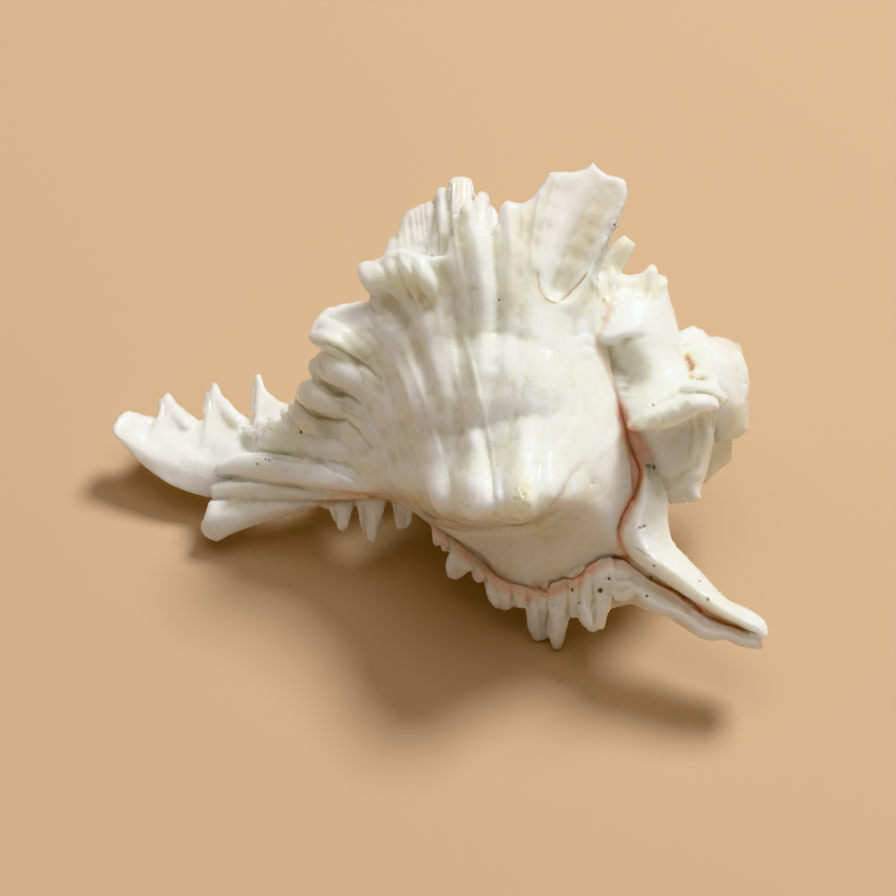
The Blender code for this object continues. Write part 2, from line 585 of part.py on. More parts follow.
def seen(points):
    """Where points in metres lie on the drawing, in mm from its middle."""
    p = points / MM
    up = p[:, 1] * math.sin(LEAN) + p[:, 2] * math.cos(LEAN)
    out = -p[:, 1] * math.cos(LEAN) + p[:, 2] * math.sin(LEAN)
    nearer = 1 - out / EYE
    return np.column_stack([p[:, 0] / nearer, up / nearer])


def stroke(places, path, level=0.0):
    """How deep a stroke is at each place, in mm."""
    knots = np.array(path, float)
    line = (knots[:, :2] - GRID_MIDDLE) * (GRID, -GRID)
    reach = knots[:, 2].max()
    near = np.all((places > line.min(0) - reach) & (places < line.max(0) + reach), axis=1)
    here = places[near]
    away = np.full(len(here), 1e9)
    width = np.ones(len(here))
    deep = np.zeros(len(here))
    for k in range(len(knots) - 1):
        along = line[k + 1] - line[k]
        share = np.clip((here - line[k]) @ along / (along @ along), 0, 1)
        gap = np.hypot(*(here - line[k] - share[:, None] * along).T)
        nearer = gap < away
        away[nearer] = gap[nearer]
        width[nearer] = (knots[k, 2] + share * (knots[k + 1, 2] - knots[k, 2]))[nearer]
        deep[nearer] = (knots[k, 3] + share * (knots[k + 1, 3] - knots[k, 3]))[nearer]
    fade = np.clip((1 - away / width) / (1 - level), 0, 1)
    depth = np.zeros(len(places))
    depth[near] = deep * fade * fade * (3 - 2 * fade)
    return depth


def shape_front(mesh):
    """Raises the ribs and presses the grooves on the faces that look at the eye."""
    points = np.array([v.co for v in mesh.vertices])
    normals = np.array([v.normal for v in mesh.vertices])
    eye = place((0, 0, 1))[0] / MM
    facing = np.clip((normals @ eye - 0.1) / 0.4, 0, 1)
    places = seen(points)
    depth = stroke(places, SPOON, SPOON_LEVEL)
    for path in GROOVES + FLUTES:
        depth += stroke(places, path)
    for path in RIBS:
        depth -= stroke(places, path)
    points -= eye * (depth * facing)[:, None] * MM
    mesh.vertices.foreach_set("co", points.astype(np.float32).ravel())
    mesh.update()


def all_forms():
    """Every form of the shell, as pairs of vertices and faces that overlap one another."""
    forms = [coil(), fan(), back_fan(), fringe(), neck(), flange(), spire_front(), apex()]
    forms += [canal(), low_lobe(), third_varix(), mouth_rim()]
    forms += third_fronds()
    for path, radii, flat in FRONDS:
        forms.append(tube(path, radii, flat))
    forms.append(tube(GREY_ROD, [1.9, 2.2, 2.6]))
    forms.append(tube(HORN, HORN_RADII))
    forms.append(tube(UPPER_HORN, UPPER_HORN_RADII))
    forms.append(tube(SPIRE_CORE, SPIRE_CORE_RADII, put=turned))
    for spine in LOW_SPINES:
        forms.append(tube(spine, LOW_SPINE_RADII, 0.7))
    for along, out, angle in UNDER_KNOBS:
        path = [(along, out, angle - 16), (along, out + 2, angle), (along, out, angle + 11)]
        forms.append(tube(path, UNDER_KNOB_RADII, put=turned))
    return forms


def joined(name, forms):
    """One mesh object that holds all the forms."""
    vertices, faces, start = [], [], 0
    for points, loops in forms:
        vertices.append(points)
        faces += [[start + v for v in loop] for loop in loops]
        start += len(points)
    mesh = bpy.data.meshes.new(name)
    mesh.from_pydata(np.vstack(vertices).tolist(), [], faces)
    mesh.validate()
    return bpy.data.objects.new(name, mesh)


def settle(piece):
    """Makes a piece's modifiers part of its mesh."""
    bpy.context.view_layer.update()
    depsgraph = bpy.context.evaluated_depsgraph_get()
    mesh = bpy.data.meshes.new_from_object(piece.evaluated_get(depsgraph))
    piece.modifiers.clear()
    piece.data = mesh


def fused(name, forms):
    """All the forms as one closed skin, with the ribs and grooves of its front."""
    shell = joined(name, forms)
    bpy.data.collections[name].objects.link(shell)
    fuse = shell.modifiers.new("fuse", "REMESH")
    fuse.mode = "VOXEL"
    fuse.voxel_size = CELL * MM
    soften = shell.modifiers.new("soften", "SMOOTH")
    soften.iterations = SMOOTHING
    soften.factor = 0.5
    settle(shell)
    shape_front(shell.data)
    return shell


def cut_mouth(shell, hollow):
    """Hollows the mouth out of the shell."""
    mouth = shell.modifiers.new("mouth", "BOOLEAN")
    mouth.operation = "DIFFERENCE"
    mouth.object = hollow
    mouth.solver = "EXACT"
    settle(shell)


def thin_out(shell):
    """Leaves about as many triangles as the solid may have."""
    shell.data.calc_loop_triangles()
    thin = shell.modifiers.new("thin", "DECIMATE")
    thin.ratio = TRIANGLES / len(shell.data.loop_triangles)
    settle(shell)


def wear_flat(mesh):
    """Wears the tips that the shell rests on flat at the table's height."""
    body = bmesh.new()
    body.from_mesh(mesh)
    cut = bmesh.ops.bisect_plane(
        body,
        geom=body.verts[:] + body.edges[:] + body.faces[:],
        plane_co=(0, 0, TABLE * MM),
        plane_no=(0, 0, 1),
        clear_inner=True,
    )
    rim = [e for e in cut["geom_cut"] if isinstance(e, bmesh.types.BMEdge)]
    bmesh.ops.holes_fill(body, edges=rim, sides=0)
    bmesh.ops.triangulate(body, faces=body.faces[:])
    bmesh.ops.recalc_face_normals(body, faces=body.faces[:])
    body.to_mesh(mesh)
    body.free()


def stand(mesh):
    """Moves the origin to the middle of the shell's box, at the table's height."""
    corners = np.array([v.co for v in mesh.vertices])
    low, high = corners.min(0), corners.max(0)
    middle = Vector(((low[0] + high[0]) / 2, (low[1] + high[1]) / 2, TABLE * MM))
    mesh.transform(Matrix.Translation(-middle))
    print("middle mm", [round(c / MM, 2) for c in middle], "size mm", (high - low) / MM)
    print("triangles", len(mesh.polygons))


def bleached_shell():
    """The chalky white of a shell that has lain in the sun, with a little polish."""
    material = bpy.data.materials.new("bleached_shell")
    material.use_nodes = True
    bsdf = material.node_tree.nodes["Principled BSDF"]
    bsdf.inputs["Base Color"].default_value = (0.78, 0.76, 0.66, 1.0)
    bsdf.inputs["Roughness"].default_value = 0.4
    return material


def main():
    for old in list(bpy.data.objects):
        bpy.data.objects.remove(old)
    for name in ("murex_shell", "cutters"):
        bpy.context.scene.collection.children.link(bpy.data.collections.new(name))

    shell = fused("murex_shell", all_forms())
    hollow = joined("mouth_hollow", [mouth_cutter()])
    hollow.hide_render = True
    hollow.display_type = "WIRE"
    bpy.data.collections["cutters"].objects.link(hollow)
    cut_mouth(shell, hollow)
    thin_out(shell)
    wear_flat(shell.data)
    stand(shell.data)
    shell.data.shade_smooth()
    shell.data.materials.clear()
    shell.data.materials.append(bleached_shell())


main()
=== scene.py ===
# %% [markdown]
# # A bleached murex shell
#
# This lesson makes one sea shell that has lain in the sun for years: white, a little chalky, with
# salmon stains where two layers of shell meet. The solid of the shell is already there, as a fixed
# frame. It has the right size and the main forms, but it is coarse. Here its forms are laid out
# again on the same drawing grid, some of them a little nearer to the eye or farther from it. They
# are fused into a much finer skin, and carved and coloured. A sculpting brush would be the usual
# way to do this. A script can do it too, if each stroke of the brush is written down as a path
# with a width and a depth, and that is what we do.

# %% Load the fixed frame
import math
import bmesh
import bpy
import numpy as np
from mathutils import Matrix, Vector
from mathutils.bvhtree import BVHTree


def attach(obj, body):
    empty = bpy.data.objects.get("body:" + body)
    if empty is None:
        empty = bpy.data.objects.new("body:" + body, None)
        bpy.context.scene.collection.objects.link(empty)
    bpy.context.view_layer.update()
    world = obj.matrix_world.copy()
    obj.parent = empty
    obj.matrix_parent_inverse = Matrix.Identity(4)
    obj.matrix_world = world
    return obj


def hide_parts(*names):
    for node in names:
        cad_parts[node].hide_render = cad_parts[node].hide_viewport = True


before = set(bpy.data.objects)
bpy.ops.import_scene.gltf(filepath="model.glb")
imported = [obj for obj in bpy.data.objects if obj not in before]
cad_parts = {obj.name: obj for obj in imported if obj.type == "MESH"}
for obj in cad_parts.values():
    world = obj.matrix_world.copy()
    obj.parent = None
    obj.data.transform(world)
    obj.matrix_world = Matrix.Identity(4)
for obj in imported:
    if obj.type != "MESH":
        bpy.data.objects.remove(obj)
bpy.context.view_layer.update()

MM = 0.001

# %% [markdown]
# ## The drawing grid
#
# A natural form has no dimensions to look up, so it is measured on a drawing. Ours looks down at
# the shell from the front. One step of its grid is a quarter of a millimetre, and a third number
# says how far a point stands out of the drawing's plane, in millimetres. With those three numbers
# a point can be set on the table, in metres. Because the eye is only 75 cm away, what stands out
# looks larger, so it is drawn in by the share of the way that it has come to the eye.

# %% The grid and how the shell lies
GRID = 0.25                     # one step of the grid, mm
GRID_MIDDLE = 448               # grid line through the middle of the drawing, both ways
EYE = 750.0                     # where the sight lines meet, mm in front of the plane
LEAN = math.radians(48.0)       # how far the eye stands above the table
MIDDLE = np.array([4.88, 2.60, 29.0])   # where the drawing's middle is in the frame, mm


def unit(vectors):
    """The same directions with a length of one."""
    return vectors / np.linalg.norm(vectors, axis=-1, keepdims=True)


def place(points):
    """Metres in the frame for points given as right, up and out, in mm."""
    p = np.atleast_2d(np.asarray(points, float))
    y = p[:, 1] * math.sin(LEAN) - p[:, 2] * math.cos(LEAN)
    z = p[:, 1] * math.cos(LEAN) + p[:, 2] * math.sin(LEAN)
    return (np.column_stack([p[:, 0], y, z]) + MIDDLE) * MM


def drawn(points):
    """Points of the drawing grid: steps right, steps down, mm out."""
    p = np.atleast_2d(np.asarray(points, float))
    nearer = 1 - p[:, 2] / EYE
    right = (p[:, 0] - GRID_MIDDLE) * GRID * nearer
    up = (GRID_MIDDLE - p[:, 1]) * GRID * nearer
    return place(np.column_stack([right, up, p[:, 2]]))


def off_table(points):
    """The way back: right, up and out in mm, for points given in metres."""
    p = points / MM - MIDDLE
    up = p[:, 1] * math.sin(LEAN) + p[:, 2] * math.cos(LEAN)
    out = -p[:, 1] * math.cos(LEAN) + p[:, 2] * math.sin(LEAN)
    return p[:, 0], up, out


def to_drawing(points):
    """Where points in metres lie on the drawing, in mm from its middle, and how far out."""
    right, up, out = off_table(points)
    nearer = 1 - out / EYE
    return np.column_stack([right / nearer, up / nearer]), out


def on_drawing(steps):
    """Mm right and up from the drawing's middle, for grid places."""
    return (np.asarray(steps, float) - GRID_MIDDLE) * (GRID, -GRID)


def way(right, up, out):
    """A direction in the frame, without a place."""
    return (place((right, up, out)) - place((0, 0, 0)))[0] / MM


TO_EYE = way(0, 0, 1)
print("way to the eye:", TO_EYE.round(3))

# %% [markdown]
# ## The camera
#
# The camera stands where the eye of the drawing is. Its lens follows from the grid: the picture
# is 896 steps wide, so 224 mm at the plane, seen from 750 mm.

# %% Set up the camera
PICTURE = 896                   # width of the picture in steps of the grid
SENSOR = 36.0                   # mm
NEAREST = 0.01                  # nothing is drawn nearer to the camera than this, m

camera_data = bpy.data.cameras.new("camera")
camera_data.sensor_width = SENSOR
camera_data.lens = SENSOR * EYE / (PICTURE * GRID)
camera_data.clip_start = NEAREST
camera = bpy.data.objects.new("camera", camera_data)
bpy.context.scene.collection.objects.link(camera)
camera.location = place((0, 0, EYE))[0]
camera.rotation_euler = Vector(TO_EYE).to_track_quat("Z", "Y").to_euler()
bpy.context.scene.camera = camera
print("lens, mm:", round(camera_data.lens, 1))

# %% [markdown]
# ## Light and floor
#
# The shell lies on a plain pale floor. One soft light stands behind it and to the right, about
# 50 degrees high, so the shadow falls towards us. A wide light above and a warm sky fill it in. A
# bleached shell is judged by its half tones, so the view is a neutral one: it shows colours as they
# are and only eases the brightest ones, which would burn out.

# %% Light the shell
LAMPS = [
    # name, way from the shell, how far and how wide in m, watts, colour
    ("high_light", (0.50, 0.55, 1.0), 2.4, 0.80, 59.0, (0.93, 0.99, 1.0)),
    ("top_light", (0.0, 0.0, 1.0), 2.2, 2.0, 15.0, (1.0, 0.96, 0.88)),
]
SKY = 0.22
SKY_COLOUR = (1.0, 0.87, 0.73)

for name, toward, far, size, watts, colour in LAMPS:
    data = bpy.data.lights.new(name, "AREA")
    data.shape = "DISK"
    data.size = size
    data.energy = watts
    data.color = colour
    lamp = bpy.data.objects.new(name, data)
    lamp.location = Vector(toward).normalized() * far
    lamp.rotation_euler = Vector(toward).to_track_quat("Z", "Y").to_euler()
    bpy.context.scene.collection.objects.link(lamp)

world = bpy.data.worlds.new("warm_sky")
world.use_nodes = True
glow = world.node_tree.nodes["Background"]
glow.inputs["Color"].default_value = (*SKY_COLOUR, 1)
glow.inputs["Strength"].default_value = SKY
bpy.context.scene.world = world
bpy.context.scene.view_settings.view_transform = "Khronos PBR Neutral"
print("lamps:", len(LAMPS))

# %% Lay the floor
FLOOR_SIZE = 4.0                # m
PAPER_COLOUR = (0.572, 0.394, 0.249)
PAPER_ROUGHNESS = 0.9
PAPER_SHINE = 0.2

bpy.ops.mesh.primitive_plane_add(size=FLOOR_SIZE)
floor = bpy.context.object
floor.name = "floor"
paper = bpy.data.materials.new("pale_paper")
paper.use_nodes = True
paper_bsdf = paper.node_tree.nodes["Principled BSDF"]
paper_bsdf.inputs["Base Color"].default_value = (*PAPER_COLOUR, 1)
paper_bsdf.inputs["Roughness"].default_value = PAPER_ROUGHNESS
paper_bsdf.inputs["Specular IOR Level"].default_value = PAPER_SHINE
floor.data.materials.append(paper)
print("floor", FLOOR_SIZE, "m wide")

# %% [markdown]
# ## Round the axis
#
# The near side of the shell comes from the drawing. The far side doesn't show there, so it is
# given round the axis of the coil: millimetres along the axis, millimetres from it, and an angle.

# %% The axis of the coil
AXIS_ORIGIN = np.array([0.0, 4.5, 0.0])         # a point on the axis: right, up, out, mm
AXIS_WAY = unit(np.array([0.988, 0.104, 0.115]))    # the way from the canal to the apex
AXIS_OUT = unit(np.array([0.0, 0.0, 1.0]) - AXIS_WAY[2] * AXIS_WAY)
AXIS_UP = np.cross(AXIS_OUT, AXIS_WAY)


def turned(points):
    """Points round the axis: mm along it, mm from it, degrees from the eye upward."""
    p = np.atleast_2d(np.asarray(points, float))
    angle = np.radians(p[:, 2])
    radial = np.outer(np.cos(angle), AXIS_OUT) + np.outer(np.sin(angle), AXIS_UP)
    return place(AXIS_ORIGIN + np.outer(p[:, 0], AXIS_WAY) + radial * p[:, 1:2])


print("axis rises", round(math.degrees(math.asin(way(*AXIS_WAY)[2])), 1), "degrees")

# %% [markdown]
# ## Sheets and tubes
#
# Two helpers make almost every form. A sheet goes through rows of points, like a loft through
# ribs, and has a thickness. A tube follows a path with its own radius at each point. Each one is
# a closed body, and the bodies may overlap as much as they like, because they are fused later.

# %% Smooth curves
GUIDE_POINTS = 400              # how finely a guide is read when another line follows it


def length_to(points):
    """How long a line of points is up to each of them."""
    lengths = np.linalg.norm(np.diff(points, axis=0), axis=1)
    return np.concatenate([[0.0], np.cumsum(lengths)])


def steps_along(points):
    """Share of the way along a line of points, for each of them."""
    gone = length_to(points)
    return gone / gone[-1]


def curve_at(knots, points, where):
    """A smooth curve through the points, read at the given places between the knots."""
    slopes = np.gradient(points, knots, axis=0)
    i = np.clip(np.searchsorted(knots, where, side="right") - 1, 0, len(knots) - 2)
    gap = (knots[i + 1] - knots[i])[:, None]
    t = ((where - knots[i]) / (knots[i + 1] - knots[i]))[:, None]
    start, end = points[i], points[i + 1]
    return (
        (2 * t**3 - 3 * t**2 + 1) * start
        + (t**3 - 2 * t**2 + t) * gap * slopes[i]
        + (3 * t**2 - 2 * t**3) * end
        + (t**3 - t**2) * gap * slopes[i + 1]
    )


def corners_at(knots, points, where):
    """A line with sharp corners through the points, read at the given places."""
    return np.column_stack([np.interp(where, knots, points[:, k]) for k in range(3)])


def share_on(guide, points):
    """How far along the guide each point lies, never going back."""
    dense = np.linspace(0, 1, GUIDE_POINTS)
    line = curve_at(steps_along(guide), guide, dense)
    nearest = dense[np.argmin(np.linalg.norm(points[:, None] - line[None], axis=2), axis=1)]
    share = np.maximum.accumulate(nearest) + np.arange(len(points)) * 1e-4
    share = share - share[0]
    return share / share[-1]


print("half way on a bent line:", curve_at(np.array([0, .5, 1]), np.eye(3), np.array([.5])))

# %% Sheets
UP_AND_BACK = (0.0, 0.4, -0.92)     # ways that a sheet's depth may go: right, up, out
STRAIGHT_BACK = (0.0, 0.1, -0.99)


def closed_grid(front, back):
    """Vertices and faces of the closed body between two grids of points."""
    rows, columns = front.shape[:2]
    count = rows * columns
    vertices = np.vstack([front.reshape(-1, 3), back.reshape(-1, 3)])
    number = np.arange(count).reshape(rows, columns)
    a, b = number[:-1, :-1].ravel(), number[:-1, 1:].ravel()
    c, d = number[1:, 1:].ravel(), number[1:, :-1].ravel()
    rim = np.concatenate([number[0, :], number[1:, -1], number[-1, -2::-1], number[-2:0:-1, 0]])
    after = np.roll(rim, -1)
    far = np.column_stack([d, c, b, a]) + count
    faces = np.column_stack([a, b, c, d]).tolist() + far.tolist()
    faces += np.column_stack([after, rim, rim + count, after + count]).tolist()
    return vertices, faces


def sheet(rows, depths, sharp=(), push=UP_AND_BACK, columns=180, across=40, put=drawn):
    """A body whose front goes through the rows of points. Each row has its own depth in mm, or
    two of them, for its two ends. The rows in sharp keep their corners and follow a neighbour."""
    placed = [put(row) for row in rows]
    where = np.linspace(0, 1, columns)
    lines = []
    for number, points in enumerate(placed):
        if number in sharp:
            guide = placed[number - 1] if number else placed[1]
            lines.append(corners_at(share_on(guide, points), points, where))
        else:
            lines.append(curve_at(steps_along(points), points, where))
    lines = np.array(lines)
    knots = np.arange(len(rows), dtype=float)
    reading = np.linspace(0, len(rows) - 1, across)
    front = np.array([curve_at(knots, lines[:, j], reading) for j in range(columns)])
    ends = np.array([np.broadcast_to(depth, 2) for depth in depths], float) * MM
    first, last = [np.interp(reading, knots, ends[:, k])[None, :] for k in (0, 1)]
    depth = first + (last - first) * where[:, None]
    back = front + way(*push)[None, None, :] * depth[:, :, None]
    return closed_grid(front, back)


test_rows = [[(0, 0, 0), (9, 0, 0)], [(0, 9, 0), (9, 9, 0)]]
print("a flat test sheet has", len(sheet(test_rows, [1, 1], columns=3, across=3)[0]), "points")

# %% Tubes
TUBE_SIDES = 20
LEAST_RADIUS = 0.3              # mm
END_RADIUS = 0.1                # mm, where a round end closes

forms = {}


def closed_rings(rings):
    """Vertices and faces of the body through a row of rings, capped at both ends."""
    count, sides = rings.shape[:2]
    number = np.arange(count * sides).reshape(count, sides)
    beside = np.roll(number, -1, axis=1)
    faces = np.column_stack(
        [number[:-1].ravel(), beside[:-1].ravel(), beside[1:].ravel(), number[1:].ravel()]
    ).tolist()
    faces.append(number[0, ::-1].tolist())
    faces.append(number[-1].tolist())
    return rings.reshape(-1, 3), faces


def tube(points, radii, flat=1.0, facing=(0.0, 0.0, 1.0), count=48, put=drawn, blunt=False):
    """A body round a smooth path, with its own radius in mm at each point. A flat one is thinner
    along the way that it faces. The ends are round unless it is blunt."""
    path = put(points)
    knots = steps_along(path)
    where = (1 - np.cos(np.linspace(0, math.pi, count))) / 2
    line = curve_at(knots, path, where)
    radius = curve_at(knots, np.array(radii, float)[:, None], where)[:, 0]
    radius = np.maximum(radius, LEAST_RADIUS) * MM
    if not blunt:
        gone = length_to(line)
        from_end = np.minimum(gone, gone[-1] - gone)
        short = 1 - np.clip(from_end / radius, 0, 1)
        radius = np.maximum(radius * np.sqrt(1 - short**2), END_RADIUS * MM)
    ahead = unit(np.gradient(line, axis=0))
    side = unit(np.cross(ahead, way(*facing)))
    thin = np.cross(side, ahead)
    turn = np.linspace(0, 2 * math.pi, TUBE_SIDES, endpoint=False)
    rings = (
        line[:, None]
        + side[:, None] * (radius[:, None] * np.cos(turn))[..., None]
        + thin[:, None] * (radius[:, None] * np.sin(turn) * flat)[..., None]
    )
    return closed_rings(rings)


def add_tubes(name, rows, flat):
    """A tube among the forms for each row of a path and its radii."""
    for number, (path, radii) in enumerate(rows):
        forms[f"{name} {number}"] = tube(path, radii, flat)
    print(name, "tubes:", len(rows))


print("a short test tube has", len(tube([(0, 0, 0), (9, 0, 0)], [2, 2])[0]), "points")

# %% [markdown]
# ## The coil
#
# A snail adds shell at the lip only, and keeps its shape as it grows. So each turn is the same
# profile, larger by a fixed factor, and the whole coil is one outline swept round the axis while
# it grows. Three times in each turn the snail rests and builds a thick rib, which is a varix.

# %% Sweep the whorls
APEX = 82.0                     # where the whorls would shrink to nothing, mm along the axis
GROWTH = 1.62                   # how much a whorl grows in one turn
LIP_ANGLE = 52.0                # angle of the newest varix, degrees from the eye, upward
TURNS = 3.1                     # whorls that are left of the worn spire
VARIX_GAP = 122.0               # degrees between two varices
VARIX_SWELL = 0.16              # how much wider a whorl is at a varix
VARIX_WIDTH = 8.0               # half the width of that swelling, degrees
COIL_STEP = 2.5                 # degrees between two sections
COIL_HEART = 0.3                # where the sections meet beside the axis, mm from it
OUTLINE_FINER = 6               # points of a section for each one that is given
WHORL = [                       # one whorl at the lip: distance from the apex, from the axis, mm
    (40, 17), (44, 26.5), (50, 33), (58, 36.2), (70, 36.2), (82, 32.5), (94, 25), (104, 17),
    (112, 11), (120, 8),
]


def coil():
    """The whorls, from the worn apex to the newest lip, with a low rib at each varix."""
    profile = np.array(WHORL, float)
    knots = np.linspace(0, 1, len(profile))
    outline = curve_at(knots, profile, np.linspace(0, 1, OUTLINE_FINER * len(profile)))
    rings = []
    for angle in np.arange(LIP_ANGLE - 360 * TURNS, LIP_ANGLE + 1, COIL_STEP):
        size = GROWTH ** ((angle - LIP_ANGLE) / 360)
        from_varix = (LIP_ANGLE - angle + VARIX_GAP / 2) % VARIX_GAP - VARIX_GAP / 2
        rib = 1 + VARIX_SWELL * math.exp(-((from_varix / VARIX_WIDTH) ** 2))
        along = APEX - outline[:, 0] * size
        across = outline[:, 1] * size * rib
        loop = [(along[-1], COIL_HEART, angle)]
        loop += [(x, r, angle) for x, r in zip(along[::-1], across[::-1])]
        loop.append((along[0], COIL_HEART, angle))
        rings.append(turned(loop))
    return closed_rings(np.array(rings))


forms["coil"] = coil()
print("coil:", len(forms["coil"][0]), "points")

# %% [markdown]
# ## The newest varix
#
# The tall fan is the newest rib of the shell, drawn out into fronds. It starts at the old lip,
# climbs the back of the body whorl, bulges over a lumpy node at the shoulder and then flares.
# Its rows run from left to right, the lowest row first, and the last row is the broken edge.

# %% Rows of the fan
OLD_LIP = [
    (352, 500, -2), (400, 503, 2), (432, 526, 8), (457, 541, 10), (487, 566, 11), (519, 583, 13),
    (548, 581, 15), (585, 562, 20), (614, 555, 22), (638, 560, 24),
]
UNDER_NODE = [
    (345, 494, 0), (395, 500, 8), (422, 515, 14), (450, 529, 19), (480, 533, 23),
    (518, 532, 28), (556, 524, 30), (600, 525, 30), (622, 535, 25),
]
NODE = [
    (335, 486, 3), (385, 486, 13), (418, 494, 24), (442, 504, 33), (472, 510, 40.5),
    (502, 510, 44.5), (530, 508, 46), (556, 500, 43), (600, 500, 33), (632, 500, 25),
]
OVER_NODE = [
    (325, 474, 2), (365, 460, 11), (405, 452, 20), (440, 450, 28.5), (480, 446, 35),
    (530, 448, 40), (570, 452, 39), (605, 450, 33), (628, 448, 25),
]
FAN_MIDDLE = [
    (315, 455, 1), (350, 425, 10), (385, 402, 17), (425, 388, 24.5), (470, 375, 29.5),
    (520, 372, 33), (560, 378, 34.5), (595, 385, 31.5), (616, 392, 26),
]
FAN_BASE = [
    (308, 428, 2), (325, 400, 7), (352, 372, 14), (385, 330, 17), (420, 300, 23), (460, 285, 28),
    (505, 280, 30), (540, 290, 30.5), (568, 305, 30.5), (590, 310, 29), (603, 330, 27),
]
FAN_EDGE = [
    (290, 420, 4), (296, 396, 4), (304, 382, 4), (313, 379, 5), (322, 388, 9), (314, 372, 9),
    (308, 362, 8), (315, 359, 8), (326, 350, 8), (334, 348, 9), (343, 357, 13), (333, 348, 15),
    (307, 338, 13), (314, 323, 11), (323, 312, 9.5), (330, 308, 9), (334, 310, 9.5),
    (343, 305, 9), (350, 306, 9), (354, 304, 9.5), (369, 303, 12), (371, 290, 15),
    (359, 267, 16), (364, 262, 16), (372, 263, 17.5), (384, 257, 19.5), (388, 254, 20.5),
    (402, 250, 23), (409, 253, 24.5), (416, 256, 25.5), (432, 259, 27), (446, 257, 27.5),
    (450, 230, 27), (452, 215, 27), (461, 216, 27), (467, 207, 26.5), (473, 211, 26.5),
    (475, 224, 27), (489, 233, 28), (497, 226, 27.5), (501, 206, 26.5), (508, 203, 26.5),
    (523, 205, 27), (532, 199, 27), (541, 188, 27), (550, 173, 26.5), (575, 173, 27),
    (587, 169, 27), (593, 163, 27), (601, 171, 27.5), (609, 177, 28), (621, 179, 28),
    (628, 184, 28), (629, 188, 28), (622, 192, 28), (632, 204, 28.5), (621, 207, 28.5),
    (617, 221, 29), (608, 230, 29), (596, 248, 29), (589, 266, 28.5), (600, 290, 26.5),
    (604, 310, 25),
]

forms["fan"] = sheet(
    [OLD_LIP, UNDER_NODE, NODE, OVER_NODE, FAN_MIDDLE, FAN_BASE, FAN_EDGE],
    depths=[6, 14, 20, 20, 17, 10, 1.6],
    sharp=(6,),
    columns=420,
    across=140,
)
print("fan:", len(forms["fan"][0]), "points")

# %% The fluted ends of the left fronds
FLUTED_FRONDS = [
    # path and radii in mm of each flute, from the tip down to where it sinks into the fan
    ([(360, 264, 14.5), (374, 281, 18), (400, 308, 15)], [1.5, 3.0, 1.6]),
    ([(371, 265, 16), (384, 279, 19.5), (410, 308, 17)], [1.6, 2.7, 1.6]),
    ([(387, 258, 18.5), (397, 274, 21.5), (418, 306, 18.5)], [1.5, 2.5, 1.6]),
    ([(403, 253, 21.5), (410, 272, 24), (428, 304, 20.5)], [1.5, 2.4, 1.6]),
    ([(418, 258, 25), (424, 275, 26.5), (440, 304, 22.5)], [1.3, 2.2, 1.6]),
    ([(372, 290, 15), (378, 300, 16), (390, 320, 12.5)], [1.2, 2.0, 1.4]),
    ([(309, 335, 11), (332, 343, 16.5), (366, 362, 14)], [1.4, 2.6, 1.4]),
    ([(317, 321, 9), (338, 333, 15), (372, 354, 15.5)], [1.4, 2.6, 1.4]),
    ([(329, 311, 7), (348, 325, 13), (382, 349, 16)], [1.4, 2.6, 1.4]),
    ([(344, 307, 7), (360, 320, 12.5), (390, 343, 16.5)], [1.4, 2.4, 1.4]),
    ([(358, 306, 8), (372, 318, 13), (398, 336, 17.5)], [1.3, 2.2, 1.4]),
    ([(322, 362, 8), (333, 366, 13), (352, 378, 13), (370, 394, 9)], [3.0, 4.4, 3.4, 1.2]),
    ([(312, 360, 7), (314, 369, 8), (324, 378, 8)], [0.8, 1.5, 1.8]),
    ([(302, 391, 3), (313, 395, 9), (331, 403, 10), (352, 415, 6)], [2.4, 3.6, 2.8, 1.2]),
    ([(300, 404, 0), (306, 413, 4), (320, 428, 3)], [1.2, 2.0, 1.6]),
    ([(291, 404, -2), (298, 414, 2), (312, 432, 1)], [1.1, 2.0, 1.6]),
    ([(282, 410, -6), (290, 419, -2), (304, 434, -1)], [1.0, 1.9, 1.6]),
    ([(269, 419, -11), (280, 425, -7), (298, 436, -4)], [0.9, 1.7, 1.5]),
    ([(255, 423, -16), (268, 428, -11), (290, 438, -6)], [0.9, 1.7, 1.5]),
    ([(242, 428, -18), (260, 433, -13), (284, 441, -8)], [0.8, 1.8, 1.5]),
]
add_tubes("flute", FLUTED_FRONDS, flat=0.8)

# %% [markdown]
# Behind the fan stands a second layer of fronds. On the real shell these are the other halves of
# the same hollow fronds. Each is a scallop of its own here, so that one lies over the next.

# %% The scallops behind the fan
SCALLOPS = [
    # outlines from left to right
    [(384, 253, 18), (389, 241, 17.5), (396, 237, 17), (401, 221, 16.5), (408, 212, 16.5),
     (420, 206, 17), (432, 201, 18), (438, 215, 19), (440, 250, 21)],
    [(432, 245, 22), (433, 205, 20), (436, 191, 18.5), (441, 188, 18.5), (447, 188, 18.5),
     (452, 200, 20), (452, 245, 22)],
    [(446, 240, 24), (447, 200, 22), (449, 181, 20), (455, 178, 19.5), (461, 177, 19.5),
     (467, 179, 19.5), (472, 181, 20), (476, 200, 21.5), (478, 240, 24)],
    [(470, 245, 23), (473, 205, 20.5), (479, 191, 19), (485, 193, 19), (489, 197, 19),
     (491, 215, 21), (490, 245, 23)],
    [(484, 245, 21), (488, 206, 19), (493, 208, 19), (499, 217, 20), (503, 240, 21)],
]
SCALLOP_FOOT = 272              # grid line where the scallops leave the fan
SCALLOP_DEPTHS = [5, 4, 1.8]    # at the foot, the belly and the edge, mm
BELLY_RISE = 12                 # how far the belly's middle is above its ends, in steps
BELLY_SWELL = 1.4               # how far a belly stands out, mm


